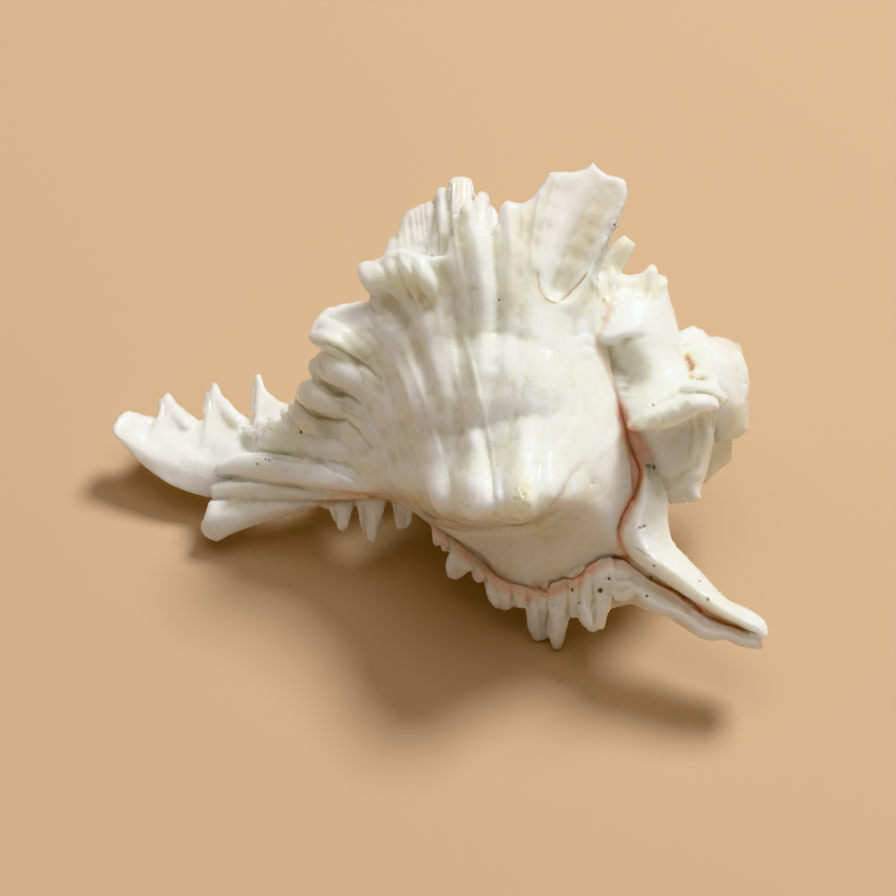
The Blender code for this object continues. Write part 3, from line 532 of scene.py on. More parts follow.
def scallop(outline):
    """One rounded frond of the back layer, from its foot up to its outline."""
    left, right = outline[0], outline[-1]
    middle = (left[0] + right[0]) / 2
    out = min(left[2], right[2])
    foot = [(left[0], SCALLOP_FOOT, out - 1), (middle, SCALLOP_FOOT, out),
            (right[0], SCALLOP_FOOT, out - 1)]
    belly = [left, (middle, left[1] - BELLY_RISE, out + BELLY_SWELL), right]
    return sheet([foot, belly, outline], SCALLOP_DEPTHS, sharp=(2,), columns=70, across=36)


for number, outline in enumerate(SCALLOPS):
    forms[f"scallop {number}"] = scallop(outline)
print("scallops:", len(SCALLOPS))

# %% [markdown]
# ## The older varix
#
# The rib before the newest one ends in a fringe of small fronds along the old lip, three longer
# ones on the canal's side, and one long shoulder spine that points to the right. The spine is
# folded from two halves, which leaves a slit along its whole length.

# %% The fringe
FRINGE_ROOT = [
    (432, 522, 7), (457, 536, 8), (487, 560, 10), (519, 578, 12), (548, 577, 14), (585, 560, 19),
    (612, 552, 21),
]
FRINGE_CREST = [
    (432, 532, 10), (455, 548, 12), (480, 572, 13), (515, 592, 15), (548, 598, 16),
    (580, 585, 21), (612, 574, 23),
]
FRINGE_EDGE = [
    (432, 535, 7), (433, 542, 7), (438, 547, 7), (441, 543, 8), (444, 551, 8), (450, 552, 8),
    (448, 566, 6), (449, 575, 6), (457, 580, 6), (463, 577, 8), (466, 573, 9), (471, 568, 10),
    (473, 580, 9), (479, 584, 9), (485, 579, 11), (485, 588, 10), (492, 598, 9), (499, 608, 9),
    (506, 611, 9), (511, 607, 11), (512, 601, 12), (516, 608, 11), (522, 608, 11), (528, 609, 11),
    (528, 621, 8), (533, 627, 7), (535, 640, 5), (541, 641, 5), (546, 640, 5), (547, 630, 7),
    (551, 644, 6), (557, 650, 6), (562, 649, 7), (565, 636, 10), (570, 618, 14), (574, 616, 15),
    (579, 618, 16), (582, 626, 16), (589, 632, 16), (596, 633, 17), (602, 627, 18.5),
    (606, 616, 20), (612, 608, 20),
]
forms["fringe"] = sheet(
    [FRINGE_ROOT, FRINGE_CREST, FRINGE_EDGE],
    depths=[8, 9, 2.4],
    sharp=(2,),
    push=(0.0, 0.25, -0.97),
    columns=320,
    across=50,
)
print("fringe:", len(forms["fringe"][0]), "points")

# %% The fronds of the fringe
FRINGE_FRONDS = [
    # path and radii in mm, from the tip to the old lip
    ([(437, 546, 6), (437, 536, 8)], [0.8, 1.4]), ([(445, 551, 7), (447, 540, 9)], [0.8, 1.4]),
    ([(454, 578, 5), (453, 566, 8), (458, 550, 11)], [1.2, 1.9, 1.6]),
    ([(466, 570, 8), (467, 557, 10)], [1.0, 1.5]), ([(478, 581, 8), (479, 569, 11)], [1.0, 1.5]),
    ([(500, 607, 8), (495, 597, 11), (490, 583, 13)], [1.2, 1.7, 1.5]),
    ([(508, 609, 9), (507, 598, 12), (504, 587, 14)], [1.1, 1.6, 1.4]),
    ([(521, 607, 11), (521, 596, 14)], [1.3, 1.5]),
    ([(538, 640, 4.5), (534, 622, 9), (532, 604, 14)], [1.4, 1.9, 1.7]),
    ([(544, 639, 5), (544, 618, 10), (544, 603, 15)], [0.9, 1.1, 1.3]),
    ([(558, 649, 6), (556, 630, 11), (557, 606, 16)], [1.2, 2.1, 2.1]),
    ([(575, 617, 14), (573, 602, 17)], [1.3, 1.6]),
    ([(593, 631, 17), (587, 620, 19), (583, 600, 19.5), (586, 582, 18)], [1.0, 1.3, 1.5, 1.4]),
    ([(600, 629, 18), (603, 612, 20), (604, 596, 20.5)], [1.0, 1.3, 1.5]),
]
add_tubes("fringe frond", FRINGE_FRONDS, flat=0.8)

# %% The three low spines and the web between them
LOW_SPINES = [
    ([(345, 500, -1), (344, 510, -1.5), (342.5, 521, -2), (342, 531, -3)], [3.0, 2.1, 1.7, 1.0]),
    ([(335, 501, -3), (335.5, 509, -3), (336, 516, -3.5), (338.5, 523, -4)], [2.4, 1.7, 1.2, 0.7]),
    ([(374, 494, 2), (374.5, 512, 1), (373, 529, -1), (371, 543, -2)], [3.4, 2.3, 1.7, 1.1]),
    ([(364, 496, 0), (364.5, 509, 0), (365, 522, -1.5), (366, 534, -2.5)], [2.6, 1.7, 1.2, 0.7]),
    ([(398, 498, 1), (398, 514, 1), (400, 531, 0)], [1.9, 1.3, 0.8]),
    ([(409, 497, 3), (408, 512, 2), (405, 529, 1)], [2.8, 1.8, 1.0]),
]
WEB_TOP = [(316, 500, -3), (354, 488, -1), (392, 490, 3), (420, 500, 5)]
WEB_FOOT = [
    (318, 506, -5), (330, 511, -4), (341, 512, -4), (350, 511, -3), (355.5, 506, -2),
    (361, 512, -2), (370, 514, -2), (381, 511, -1), (388.5, 502, 0), (395, 508, 0), (406, 511, 1),
    (415, 508, 2), (419, 505, 3),
]
add_tubes("low spine", LOW_SPINES, flat=0.6)
forms["web"] = sheet([WEB_TOP, WEB_FOOT], depths=[6, 2.4], columns=120, across=20)
print("web:", len(WEB_FOOT), "points along its foot")

# %% The shoulder spine
NECK_OUTER = [
    (655, 462, 19), (668, 500, 22), (669, 524, 24.5), (674, 544, 26), (688, 559, 26.5),
    (707, 579, 26.5), (727, 600, 28.5), (756, 615, 30.5), (766, 624, 31.5), (769, 636, 31.5),
]
NECK_CREST = [
    (646, 466, 23), (645, 500, 27.5), (640, 530, 31), (652, 556, 33.5), (676, 573, 34),
    (698, 590, 34), (720, 607, 34.5), (745, 621, 34.5), (758, 628, 34), (766, 638, 33.5),
]
NECK_INNER = [
    (641, 474, 22), (634, 497, 23), (623, 519, 25), (620, 537, 26.5), (629, 556, 28),
    (648, 571, 29), (670, 586, 29.5), (692, 600, 30.5), (714, 614, 30.5), (742, 627, 31.5),
    (762, 640, 31.5),
]
FLANGE_INNER = [
    (606, 560, 19), (628, 562, 24), (645, 575, 26), (668, 589, 27.5), (690, 603, 28.5),
    (713, 618, 29.5), (740, 631, 30.5), (762, 643, 31.5),
]
FLANGE_CREST = [
    (600, 572, 21), (616, 590, 23), (634, 588, 25), (655, 601, 27), (678, 612, 28.5),
    (700, 629, 29.5), (724, 636, 30.5), (758, 645, 31.5),
]
FLANGE_OUTER = [
    (604, 612, 11), (620, 607, 14), (632, 605, 18), (647, 611, 22), (665, 614, 24.5),
    (678, 624, 25.5), (704, 637, 27.5), (720, 635, 28.5), (744, 645, 29.5), (769, 647, 30.5),
]
forms["neck"] = sheet([NECK_OUTER, NECK_CREST, NECK_INNER], depths=[5, 9, 6],
                      push=STRAIGHT_BACK, columns=150, across=50)
forms["flange"] = sheet([FLANGE_INNER, FLANGE_CREST, FLANGE_OUTER], depths=[7, 6, 3],
                        push=STRAIGHT_BACK, columns=150, across=50)
SLIT_FLOOR = [(612, 556, 12), (632, 566, 19), (660, 584, 22.5), (692, 605, 24), (720, 622, 25),
              (745, 632, 26), (760, 638, 27)]
forms["slit floor"] = tube(SLIT_FLOOR, [3, 4, 4, 4, 3.4, 3, 2.4])
TWISTED_RIM = [
    (608, 571, 18), (613, 586, 21), (620, 597, 23), (629, 594, 24.5), (638, 589, 25.5),
    (647, 599, 26.5), (662, 609, 27.5), (676, 613, 28.5), (690, 621, 29.5), (703, 632, 30),
    (716, 635, 30.5), (726, 635, 31), (742, 642, 31), (764, 646, 31),
]
RIM_RADII = [0.9, 1.2, 1.3, 1.2, 1.2, 1.6, 1.6, 1.3, 1.4, 1.6, 1.4, 1.2, 1.2, 1.0]
forms["twisted rim"] = tube(TWISTED_RIM, RIM_RADII, count=120)
SUTURE_FLOOR = [(606, 366, 17), (618, 405, 18), (628, 440, 19), (637, 472, 19), (632, 500, 19),
                (620, 530, 20), (622, 552, 21)]
forms["suture floor"] = tube(SUTURE_FLOOR, [2.4, 3.0, 3.6, 3.8, 3.6, 3.2, 2.6])
print("shoulder spine:", len(NECK_CREST), "points along its crest")

# %% [markdown]
# ## The spire
#
# The small whorls at the right carry the same ribs as the large one, one above the other. The
# rows go from the crown of the upper rib down over a shelf, a hollow, a long fold that ends in a
# horn, and the face below it. The tip of the spire has broken off and is worn.

# %% Rows of the spire
CROWN_EDGE = [
    (589, 282, 22), (592, 272, 23), (595, 267, 23), (599, 275, 23), (606, 275, 23),
    (612, 270, 24), (619, 276, 23), (629, 278, 23), (640, 276, 22), (647, 271, 22),
    (651, 266, 22), (656, 268, 22), (658, 276, 21), (667, 279, 20), (668, 290, 19),
    (672, 308, 18),
]
CROWN_FACE = [(594, 305, 24.5), (615, 300, 25), (640, 300, 25), (660, 304, 23), (675, 318, 18.5)]
SHELF = [(592, 334, 27), (603, 338, 29.5), (620, 332, 30), (637, 328, 29), (655, 330, 26.5),
         (679, 334, 20)]
HOLLOW = [(604, 352, 25), (620, 350, 27.5), (637, 346, 28.5), (658, 350, 27), (685, 356, 20)]
SPIRE_FACE = [(614, 378, 23), (632, 378, 26), (652, 380, 29), (675, 380, 29), (698, 380, 21)]
FOLD = [
    (619, 402, 25), (632, 414, 30), (650, 416, 34), (667, 415, 37), (682, 407, 38),
    (700, 398, 38), (722, 401, 35),
]
UNDER_FOLD = [
    (624, 424, 23), (640, 432, 26), (656, 434, 28), (668, 426, 28), (684, 420, 27),
    (704, 414, 25), (718, 412, 23),
]
LOWER_FACE = [(636, 455, 22), (655, 460, 23), (680, 460, 22), (700, 455, 20), (714, 443, 16)]
LOWER_TIPS = [
    (645, 472, 18), (660, 492, 16), (670, 505, 14), (684, 503, 15), (697, 502, 16),
    (703, 485, 14), (709, 468, 12),
]
forms["spire"] = sheet(
    [CROWN_EDGE, CROWN_FACE, SHELF, HOLLOW, SPIRE_FACE, FOLD, UNDER_FOLD, LOWER_FACE,
     LOWER_TIPS],
    depths=[2.2, 8, 14, 14, 14, 16, 14, 12, 3.5],
    sharp=(0, 8),
    columns=220,
    across=140,
)
print("spire:", len(forms["spire"][0]), "points")

# %% The horn, the grey frond behind the crown and the core
HORN = [(630, 425, 27), (648, 421, 33), (666, 418, 37), (684, 410, 40), (700, 403, 42),
        (712, 404, 41), (718, 410, 39.5)]
HORN_RADII = [1.6, 2.3, 2.6, 2.5, 2.2, 1.7, 1.0]
UPPER_HORN = [(682, 390, 31), (694, 387, 34), (708, 389, 35), (721, 397, 34), (727, 401, 33)]
UPPER_HORN_RADII = [1.2, 1.7, 1.7, 1.2, 0.7]
GREY_FROND = [(630, 240, 20), (621, 251, 20), (611, 266, 20), (602, 284, 20)]
GREY_RADII = [2.0, 2.7, 3.1, 3.3]
SPIRE_CORE = [(40, 1, 0), (54, 1, 0), (63, 1, 0), (70, 1, 0)]
SPIRE_CORE_RADII = [20, 17, 13, 8]
forms["horn"] = tube(HORN, HORN_RADII)
forms["upper horn"] = tube(UPPER_HORN, UPPER_HORN_RADII)
forms["grey frond"] = tube(GREY_FROND, GREY_RADII, flat=0.5, blunt=True)
forms["spire core"] = tube(SPIRE_CORE, SPIRE_CORE_RADII, put=turned)
print("horn tip at", HORN[-1])

# %% The worn apex
APEX_PLATE = [
    [(684, 354, 17), (694, 350, 18), (706, 345, 18), (717, 344, 16), (726, 345, 12)],
    [(688, 366, 19), (704, 360, 21), (718, 358, 21), (734, 360, 16), (745, 364, 8)],
    [(697, 385, 19), (712, 384, 22), (726, 384, 21), (740, 385, 16), (748, 386, 6)],
    [(708, 410, 18), (718, 410, 20), (730, 410, 19), (742, 412, 14), (749, 418, 5)],
    [(712, 438, 12), (722, 440, 14), (731, 441, 12), (742, 437, 8), (747, 432, 4)],
]
BACK_PLATE = [
    [(678, 352, 12), (697, 356, 14), (716, 354, 14), (724, 352, 12)],
    [(679, 340, 10), (682, 333, 10), (694, 328, 10), (703, 332, 10), (709, 339, 10),
     (717, 344, 10), (725, 346, 10)],
]
LOW_PLATE = [
    [(696, 440, 12), (714, 436, 12), (732, 436, 8)],
    [(700, 462, 9), (714, 458, 8), (732, 454, 4)],
    [(703, 486, 5), (716, 474, 4), (731, 461, 2)],
]
APEX_RIM = [(734, 351, 12), (737, 358, 12), (741, 366, 11), (743, 376, 11), (745, 388, 10),
            (745, 399, 9)]
forms["apex plate"] = sheet(APEX_PLATE, depths=[4, 14, 16, 12, 3], sharp=(0, 4), across=60)
forms["back plate"] = sheet(BACK_PLATE, depths=[8, 1.8], sharp=(1,), across=30)
forms["low plate"] = sheet(LOW_PLATE, depths=[9, 7, 2], across=30)
forms["apex rim"] = tube(APEX_RIM, [1.2, 1.5, 1.3, 1.4, 1.2, 0.9])
print("plates of the apex: 3")

# %% [markdown]
# ## The canal
#
# At the left the shell runs out into the canal, a long beak with three spinelets on its back.
# The fronds of the newest varix go on beside it: a cut scroll, two long folded ones and, below,
# a broad lobe.

# %% The canal and what lies along it
CANAL_TOP = [
    (111, 429, -22), (117, 420, -23.5), (124, 412, -25), (137, 413, -26), (147, 417, -26),
    (156, 419, -27), (158, 411, -28), (157, 402, -29), (160, 394, -30), (166, 391, -30),
    (170, 394, -30), (176, 403, -29), (187, 413, -27), (200, 422, -25), (205, 416, -26),
    (204, 410, -27), (207, 405, -27), (205, 391, -29), (212, 383, -29), (218, 386, -29),
    (223, 399, -27), (234, 412, -24), (251, 420, -21), (256, 410, -22), (252, 402, -23),
    (255, 396, -23), (252, 378, -25), (257, 372, -25), (261, 377, -24), (265, 390, -22),
    (273, 399, -19), (288, 405, -16), (310, 395, -12), (330, 385, -6),
]
CANAL_MIDDLE = [(112, 431, -21), (160, 447, -20), (215, 457, -17), (270, 455, -9), (335, 455, 3)]
CANAL_FOOT = [
    (113, 434, -21), (138, 461, -19.5), (173, 486, -18), (206, 497, -17), (260, 493, -10),
    (320, 490, -2), (350, 492, 3),
]
FRONDS = [
    # path, radii in mm, flatness and whether the end is cut square
    ([(250, 432, -18), (280, 432, -10), (322, 436, 0), (372, 448, 10)], [2, 3.8, 4.4, 3], 0.5, False),
    ([(261, 442, -12), (288, 442, -5), (330, 446, 3), (384, 458, 11)], [3.0, 3.3, 3.6, 2], 0.7, True),
    ([(217, 470, -15), (240, 466, -11), (280, 468, -3), (330, 476, 4), (386, 486, 9)],
     [1.9, 3.1, 3.4, 3.4, 2.2], 0.75, False),
    ([(210, 492, -16), (250, 488, -9), (300, 488, -2), (372, 491, 5)], [2.0, 2.8, 3.0, 2], 0.8, False),
]
SPINELETS = [
    # path and radii in mm
    ([(165.5, 394, -30), (169, 403, -29), (176, 414, -27), (189, 429, -23)], [1.0, 1.3, 1.9, 1.8]),
    ([(160, 397, -30), (160, 406, -29), (161, 419, -26.5)], [0.7, 0.7, 1.2]),
    ([(213.5, 386, -29), (217, 396, -28), (225, 408, -25.5), (240, 424, -20.5)],
     [1.0, 1.3, 1.9, 1.8]),
    ([(206, 391, -29), (206, 401, -28), (206, 415, -25.5)], [0.6, 0.7, 1.1]),
    ([(257.5, 375, -25), (259, 385, -24.5), (266, 398, -22), (280, 412, -17)], [0.8, 1.0, 1.5, 1.6]),
    ([(254, 381, -25), (253.5, 393, -24), (254, 413, -21)], [0.5, 0.6, 1.0]),
]
LOBE_TOP = [(209, 502, -11), (235, 500, -10), (275, 499, -6), (320, 500, -2)]
LOBE_MIDDLE = [(203, 520, -10), (240, 516, -7.5), (280, 508, -4), (320, 503, -1)]
LOBE_FOOT = [
    (200, 524, -11.5), (202, 532, -11.5), (209, 539, -11), (217, 542, -11), (224, 538, -10.5),
    (258, 525, -9), (318, 507, -4),
]
forms["canal"] = sheet(
    [CANAL_TOP, CANAL_MIDDLE, CANAL_FOOT],
    depths=[(1.8, 3), (3, 11), (1.6, 5)],
    sharp=(0,),
    push=STRAIGHT_BACK,
    columns=300,
    across=50,
)
forms["lobe"] = sheet([LOBE_TOP, LOBE_MIDDLE, LOBE_FOOT], depths=[4, (4, 8), 2.4],
                      push=STRAIGHT_BACK, columns=110, across=40)
for number, (path, radii, flat, square) in enumerate(FRONDS):
    forms[f"frond {number}"] = tube(path, radii, flat, blunt=square)
add_tubes("spinelet", SPINELETS, flat=0.7)
print("forms so far:", len(forms))

# %% [markdown]
# ## The far side
#
# The third varix carries the back of the shell. It flares from the body whorl and ends in a row
# of hollow fronds, whose tips stand on the table. Between the ribs the whorl has low knobs.

# %% The third varix
THIRD_FIRST = -22.0             # where its first frond stands, mm along the axis
THIRD_PITCH = 9.0               # from one frond to the next
THIRD_REACH = [38, 46, 51.5, 49, 56.2, 53, 60.5]     # how far each frond comes from the axis
THIRD_ROWS = [
    [(-26, 9, 105), (-8, 17, 105), (10, 21, 105), (28, 20, 105), (42, 14, 105)],
    [(-27, 11, 135), (-8, 22, 135), (10, 26, 135), (28, 26, 135), (42, 18, 135)],
    [(-28, 15, 155), (-8, 28, 157), (10, 34, 158), (28, 36, 158), (43, 25, 155)],
]
# One frond's outline: mm past its middle, mm short of its reach, degrees
FROND_OUTLINE = [(-3.6, 9, 169), (-2.6, 3, 170), (-1.9, 0, 171), (1.2, 0, 171), (2.2, 3, 170),
                 (3.4, 8, 169)]
edge = [(-29, 18, 168)]
for number, reach in enumerate(THIRD_REACH):
    at = THIRD_FIRST + THIRD_PITCH * number
    edge += [(at + past, reach - short, angle) for past, short, angle in FROND_OUTLINE]
    back = [(at, reach - 0.5, 172), (at, reach - 9, 172), (at + 0.5, 0.55 * reach, 166)]
    forms[f"third frond {number}"] = tube(back, [1.8, 2.8, 3.4], put=turned)
edge.append((45, 28, 162))
forms["third varix"] = sheet(THIRD_ROWS + [edge], depths=[8, 8, 8, 2.2], sharp=(3,),
                             push=(0.0, -0.98, -0.17), columns=300, across=70, put=turned)
print("third varix:", len(THIRD_REACH), "fronds")

# %% The knobs below
UNDER_KNOBS = [(0, 22.5, 214), (11, 24.5, 212), (23, 23, 214)]
UNDER_KNOB_RADII = [4.2, 6.4, 4.6]
for number, (along, out, angle) in enumerate(UNDER_KNOBS):
    path = [(along, out, angle - 16), (along, out + 2, angle), (along, out, angle + 11)]
    forms[f"under knob {number}"] = tube(path, UNDER_KNOB_RADII, put=turned)
print("knobs:", len(UNDER_KNOBS))

# %% [markdown]
# ## The mouth
#
# The mouth of a murex is an oval with a thick, smooth rim. The rim is a tube bent to an oval.
# The hollow is a horn-shaped body that is taken away from the fused shell.

# %% The rim and the hollow
MOUTH_ALONG = 2.0               # centre of the mouth, mm along the axis
MOUTH_OUT = 20.0                # and mm from the axis
MOUTH_HALF_LENGTH = 18.0
MOUTH_HALF_WIDTH = 10.0
MOUTH_TURN = 75.0               # how far the hollow runs back into the whorl, degrees
MOUTH_OPEN = 24.0               # how far the cut runs on past the lip, degrees
RIM_WIDTH = 2.6                 # half the thickness of the mouth's rim
RIM_GROWTH = 0.5                # how much thicker the rim is on its outer side
RIM_PAST_LIP = 6.0              # how far past the lip the rim lies, degrees
RIM_FACING = (0.0, 0.62, -0.79)
OVAL_POINTS = 48
HOLLOW_RINGS = 30
HOLLOW_SHRINK = 0.75            # share of its size that the hollow loses on its way in
HOLLOW_ALONG = 9.0              # how far it moves towards the spire on that way, mm
HOLLOW_IN = 3.0                 # and towards the axis, mm


def mouth_rim():
    """The thick smooth rim of the mouth, on the newest lip."""
    turn = np.linspace(0, 2 * math.pi, OVAL_POINTS + 1)
    half_length = MOUTH_HALF_LENGTH + RIM_WIDTH
    half_width = MOUTH_HALF_WIDTH + RIM_WIDTH
    path = [
        (MOUTH_ALONG + half_length * math.cos(a), MOUTH_OUT + half_width * math.sin(a),
         LIP_ANGLE + RIM_PAST_LIP)
        for a in turn
    ]
    radii = [RIM_WIDTH + RIM_GROWTH * math.sin(a) for a in turn]
    return tube(path, radii, count=160, facing=RIM_FACING, put=turned, blunt=True)


def mouth_hollow():
    """Ovals that shrink as they run back round the axis."""
    turn = np.linspace(0, 2 * math.pi, OVAL_POINTS, endpoint=False)
    rings = []
    for share in np.linspace(0, 1, HOLLOW_RINGS):
        angle = LIP_ANGLE + MOUTH_OPEN - (MOUTH_TURN + MOUTH_OPEN) * share
        size = 1 - HOLLOW_SHRINK * share**2
        rings.append(turned([
            (MOUTH_ALONG + HOLLOW_ALONG * share + MOUTH_HALF_LENGTH * size * math.cos(a),
             MOUTH_OUT - HOLLOW_IN * share + MOUTH_HALF_WIDTH * size * math.sin(a), angle)
            for a in turn
        ]))
    return closed_rings(np.array(rings))


forms["mouth rim"] = mouth_rim()
print("mouth:", 2 * MOUTH_HALF_LENGTH, "by", 2 * MOUTH_HALF_WIDTH, "mm")

# %% [markdown]
# ## One skin
#
# All the bodies go into one mesh. A voxel remesh then wraps a single closed skin round them, as
# clay would be smoothed over a core, and two more passes soften the little steps that it leaves.
# The hollow of the mouth is cut before a second remesh, so that the cut gets an even mesh too.

# %% Fuse the forms
CELL = 0.38      # mm
SOFTEN = 2                      # passes
SOFTNESS = 0.5                  # how far a point moves to the middle of its neighbours in each


def joined(name, parts):
    """One mesh object that holds all the parts."""
    vertices, faces, start = [], [], 0
    for points, loops in parts:
        vertices.append(points)
        faces += [[start + v for v in loop] for loop in loops]
        start += len(points)
    mesh = bpy.data.meshes.new(name)
    mesh.from_pydata(np.vstack(vertices).tolist(), [], faces)
    mesh.validate()
    piece = bpy.data.objects.new(name, mesh)
    bpy.context.scene.collection.objects.link(piece)
    return piece


def settle(piece):
    """Makes a piece's modifiers part of its mesh."""
    bpy.context.view_layer.update()
    depsgraph = bpy.context.evaluated_depsgraph_get()
    mesh = bpy.data.meshes.new_from_object(piece.evaluated_get(depsgraph))
    piece.modifiers.clear()
    piece.data = mesh


def fuse(piece, cell):
    """Wraps one even skin round everything in the piece."""
    remesh = piece.modifiers.new("fuse", "REMESH")
    remesh.mode = "VOXEL"
    remesh.voxel_size = cell * MM
    settle(piece)


shell = joined("murex_shell_surface", list(forms.values()))
fuse(shell, CELL)
print("first skin:", len(shell.data.vertices), "points")

# %% Cut the mouth
hollow = joined("mouth_hollow", [mouth_hollow()])
cut = shell.modifiers.new("mouth", "BOOLEAN")
cut.operation = "DIFFERENCE"
cut.object = hollow
cut.solver = "MANIFOLD"
settle(shell)
bpy.data.objects.remove(hollow)
fuse(shell, CELL)
soft = shell.modifiers.new("soften", "SMOOTH")
soft.iterations = SOFTEN
soft.factor = SOFTNESS
settle(shell)
print("second skin:", len(shell.data.vertices), "points")

# %% [markdown]
# ## Carving
#
# The skin is now as smooth as wax, and a murex is anything but. The carving works on plain
# arrays: where each point is, which way it faces, and whether the drawing's eye can see it.
# Points that the eye sees are carved with strokes that follow the drawing. All the others get
# relief from rules, such as cords that run round the whorl.

# %% Read the skin into arrays
EDGE_ON = 0.02                  # a point that faces the eye less than this isn't seen
LIFT = 0.3                      # mm above the skin that a sight line starts


def read(mesh):
    """Places and normals of a mesh's points."""
    arrays = []
    for name in ("co", "normal"):
        values = np.empty(len(mesh.vertices) * 3, np.float32)
        mesh.vertices.foreach_get(name, values)
        arrays.append(values.reshape(-1, 3).astype(float))
    return arrays


def move(mesh, points):
    """Puts a mesh's points in new places."""
    mesh.vertices.foreach_set("co", points.astype(np.float32).ravel())
    mesh.update()


def edges_of(mesh):
    """The two ends of each edge."""
    ends = np.empty(len(mesh.edges) * 2, np.int32)
    mesh.edges.foreach_get("vertices", ends)
    return ends.reshape(-1, 2)


def blurred(values, ends, rounds):
    """Values evened out over neighbouring points."""
    count = np.maximum(np.bincount(ends.ravel(), minlength=len(values)), 1)
    values = values.reshape(len(values), -1).copy()
    for _ in range(rounds):
        for k in range(values.shape[1]):
            column = values[:, k]
            total = np.bincount(ends[:, 0], column[ends[:, 1]], len(column))
            total += np.bincount(ends[:, 1], column[ends[:, 0]], len(column))
            values[:, k] = 0.5 * column + 0.5 * total / count
    return values


def seen_by_eye(mesh, points, normals):
    """1 for the points that the eye sees, 0 for the others."""
    tree = BVHTree.FromPolygons(
        [tuple(p) for p in points], [tuple(f.vertices) for f in mesh.polygons]
    )
    eye = Vector(place((0, 0, EYE))[0])
    seen = np.zeros(len(points))
    for i in np.nonzero(normals @ TO_EYE > EDGE_ON)[0]:
        start = Vector(points[i]) + Vector(normals[i]) * (LIFT * MM)
        if tree.ray_cast(start, eye - start)[0] is None:
            seen[i] = 1.0
    return seen


def ramp(values, start, length):
    """0 up to the start, 1 past the length, and a straight rise between them."""
    return np.clip((values - start) / length, 0, 1)


points, normals = read(shell.data)
ends = edges_of(shell.data)
seen = blurred(seen_by_eye(shell.data, points, normals), ends, 3)[:, 0]
print("share of the skin that the eye sees:", round(float(seen.mean()), 2))

# %% [markdown]
# A stroke is a path on the drawing with a half width and a depth at each point. Its section is
# a soft bump. `stroke` says how deep the stroke is at each place, and the same function later
# paints stains, because a stain has a path, a width and a strength too. `nearest` finds the point
# of a path that lies nearest to each place, and thin lines will need it as well.

# %% Strokes
def nearest(places, knots):
    """How far each place is from a path, the same with a sign for the side that it lies on, and
    the path's own values at its nearest point."""
    line = on_drawing(knots[:, :2])
    away = np.full(len(places), 1e9)
    side = np.zeros(len(places))
    values = np.zeros((len(places), knots.shape[1] - 2))
    for k in range(len(line) - 1):
        along = line[k + 1] - line[k]
        past = places - line[k]
        share = np.clip(past @ along / max(along @ along, 1e-9), 0, 1)[:, None]
        gap = np.hypot(*(past - share * along).T)
        nearer = gap < away
        left = np.sign(along[0] * past[:, 1] - along[1] * past[:, 0])
        away[nearer] = gap[nearer]
        side[nearer] = (left * gap)[nearer]
        values[nearer] = (knots[k, 2:] + share * (knots[k + 1, 2:] - knots[k, 2:]))[nearer]
    return away, side, values


def stroke(places, path, level=0.0):
    """How deep a stroke is at each place, in mm. Level is the flat share of its width."""
    knots = np.array(path, float)
    line = on_drawing(knots[:, :2])
    reach = knots[:, 2].max()
    near = np.all((places > line.min(0) - reach) & (places < line.max(0) + reach), axis=1)
    away, _, values = nearest(places[near], knots)
    fade = np.clip((1 - away / values[:, 0]) / (1 - level), 0, 1)
    depth = np.zeros(len(places))
    depth[near] = values[:, 1] * fade * fade * (3 - 2 * fade)
    return depth


def strokes(places, paths):
    """All the strokes of a list together."""
    return sum(stroke(places, path) for path in paths)


middle_of_grid = np.zeros((1, 2))
print("a test stroke is", stroke(middle_of_grid, [(448, 448, 2, 1), (458, 448, 2, 1)]), "mm deep")

# %% Broad ribs and valleys of the fan
BROAD_RIBS = [
    [(467, 209, 3.0, 1.0), (477, 240, 4.4, 1.5), (484, 285, 4.4, 1.3), (484, 330, 3.8, 0.9),
     (478, 380, 3.4, 0.7), (474, 440, 4.0, 0.7)],
    [(508, 206, 2.4, 0.8), (513, 250, 3.4, 1.0), (512, 300, 3.4, 0.6), (505, 370, 3.0, 0.3)],
    [(392, 284, 4.0, 0.0), (420, 325, 5.0, 0.8), (436, 385, 4.0, 0.6),
     (434, 450, 4.0, 0.5)],
    [(385, 342, 4.0, 0.0), (400, 368, 3.8, 0.7), (412, 395, 3.4, 0.6), (424, 455, 3.0, 0.4)],
    [(352, 378, 4.0, 0.6), (378, 400, 3.4, 0.8), (402, 440, 3.0, 0.4)],
    [(338, 408, 3.4, 0.5), (372, 438, 3.0, 0.5)],
    [(330, 448, 3.0, 0.5), (368, 464, 2.4, 0.4)],
    [(434, 450, 3.8, 0.4), (433, 486, 4.4, 1.1), (440, 512, 3.6, 0.9)],
    [(474, 440, 4.0, 0.7), (474, 488, 5.8, 1.3), (472, 512, 4.8, 1.0)],
    [(524, 430, 4.0, 0.7), (523, 480, 6.4, 1.4), (524, 508, 5.2, 1.2)],
    [(546, 462, 2.6, 0.2), (549, 482, 3.2, 1.3), (550, 494, 2.8, 1.1)],
    [(626, 204, 1.6, 0.5), (613, 226, 1.8, 1.0), (598, 249, 1.8, 1.0), (588, 276, 2.2, 1.0),
     (574, 306, 3.0, 0.6)],
    [(560, 250, 8.0, 0.6), (545, 330, 8.0, 0.8), (540, 400, 7.0, 0.6), (530, 450, 6.0, 0.4)],
]
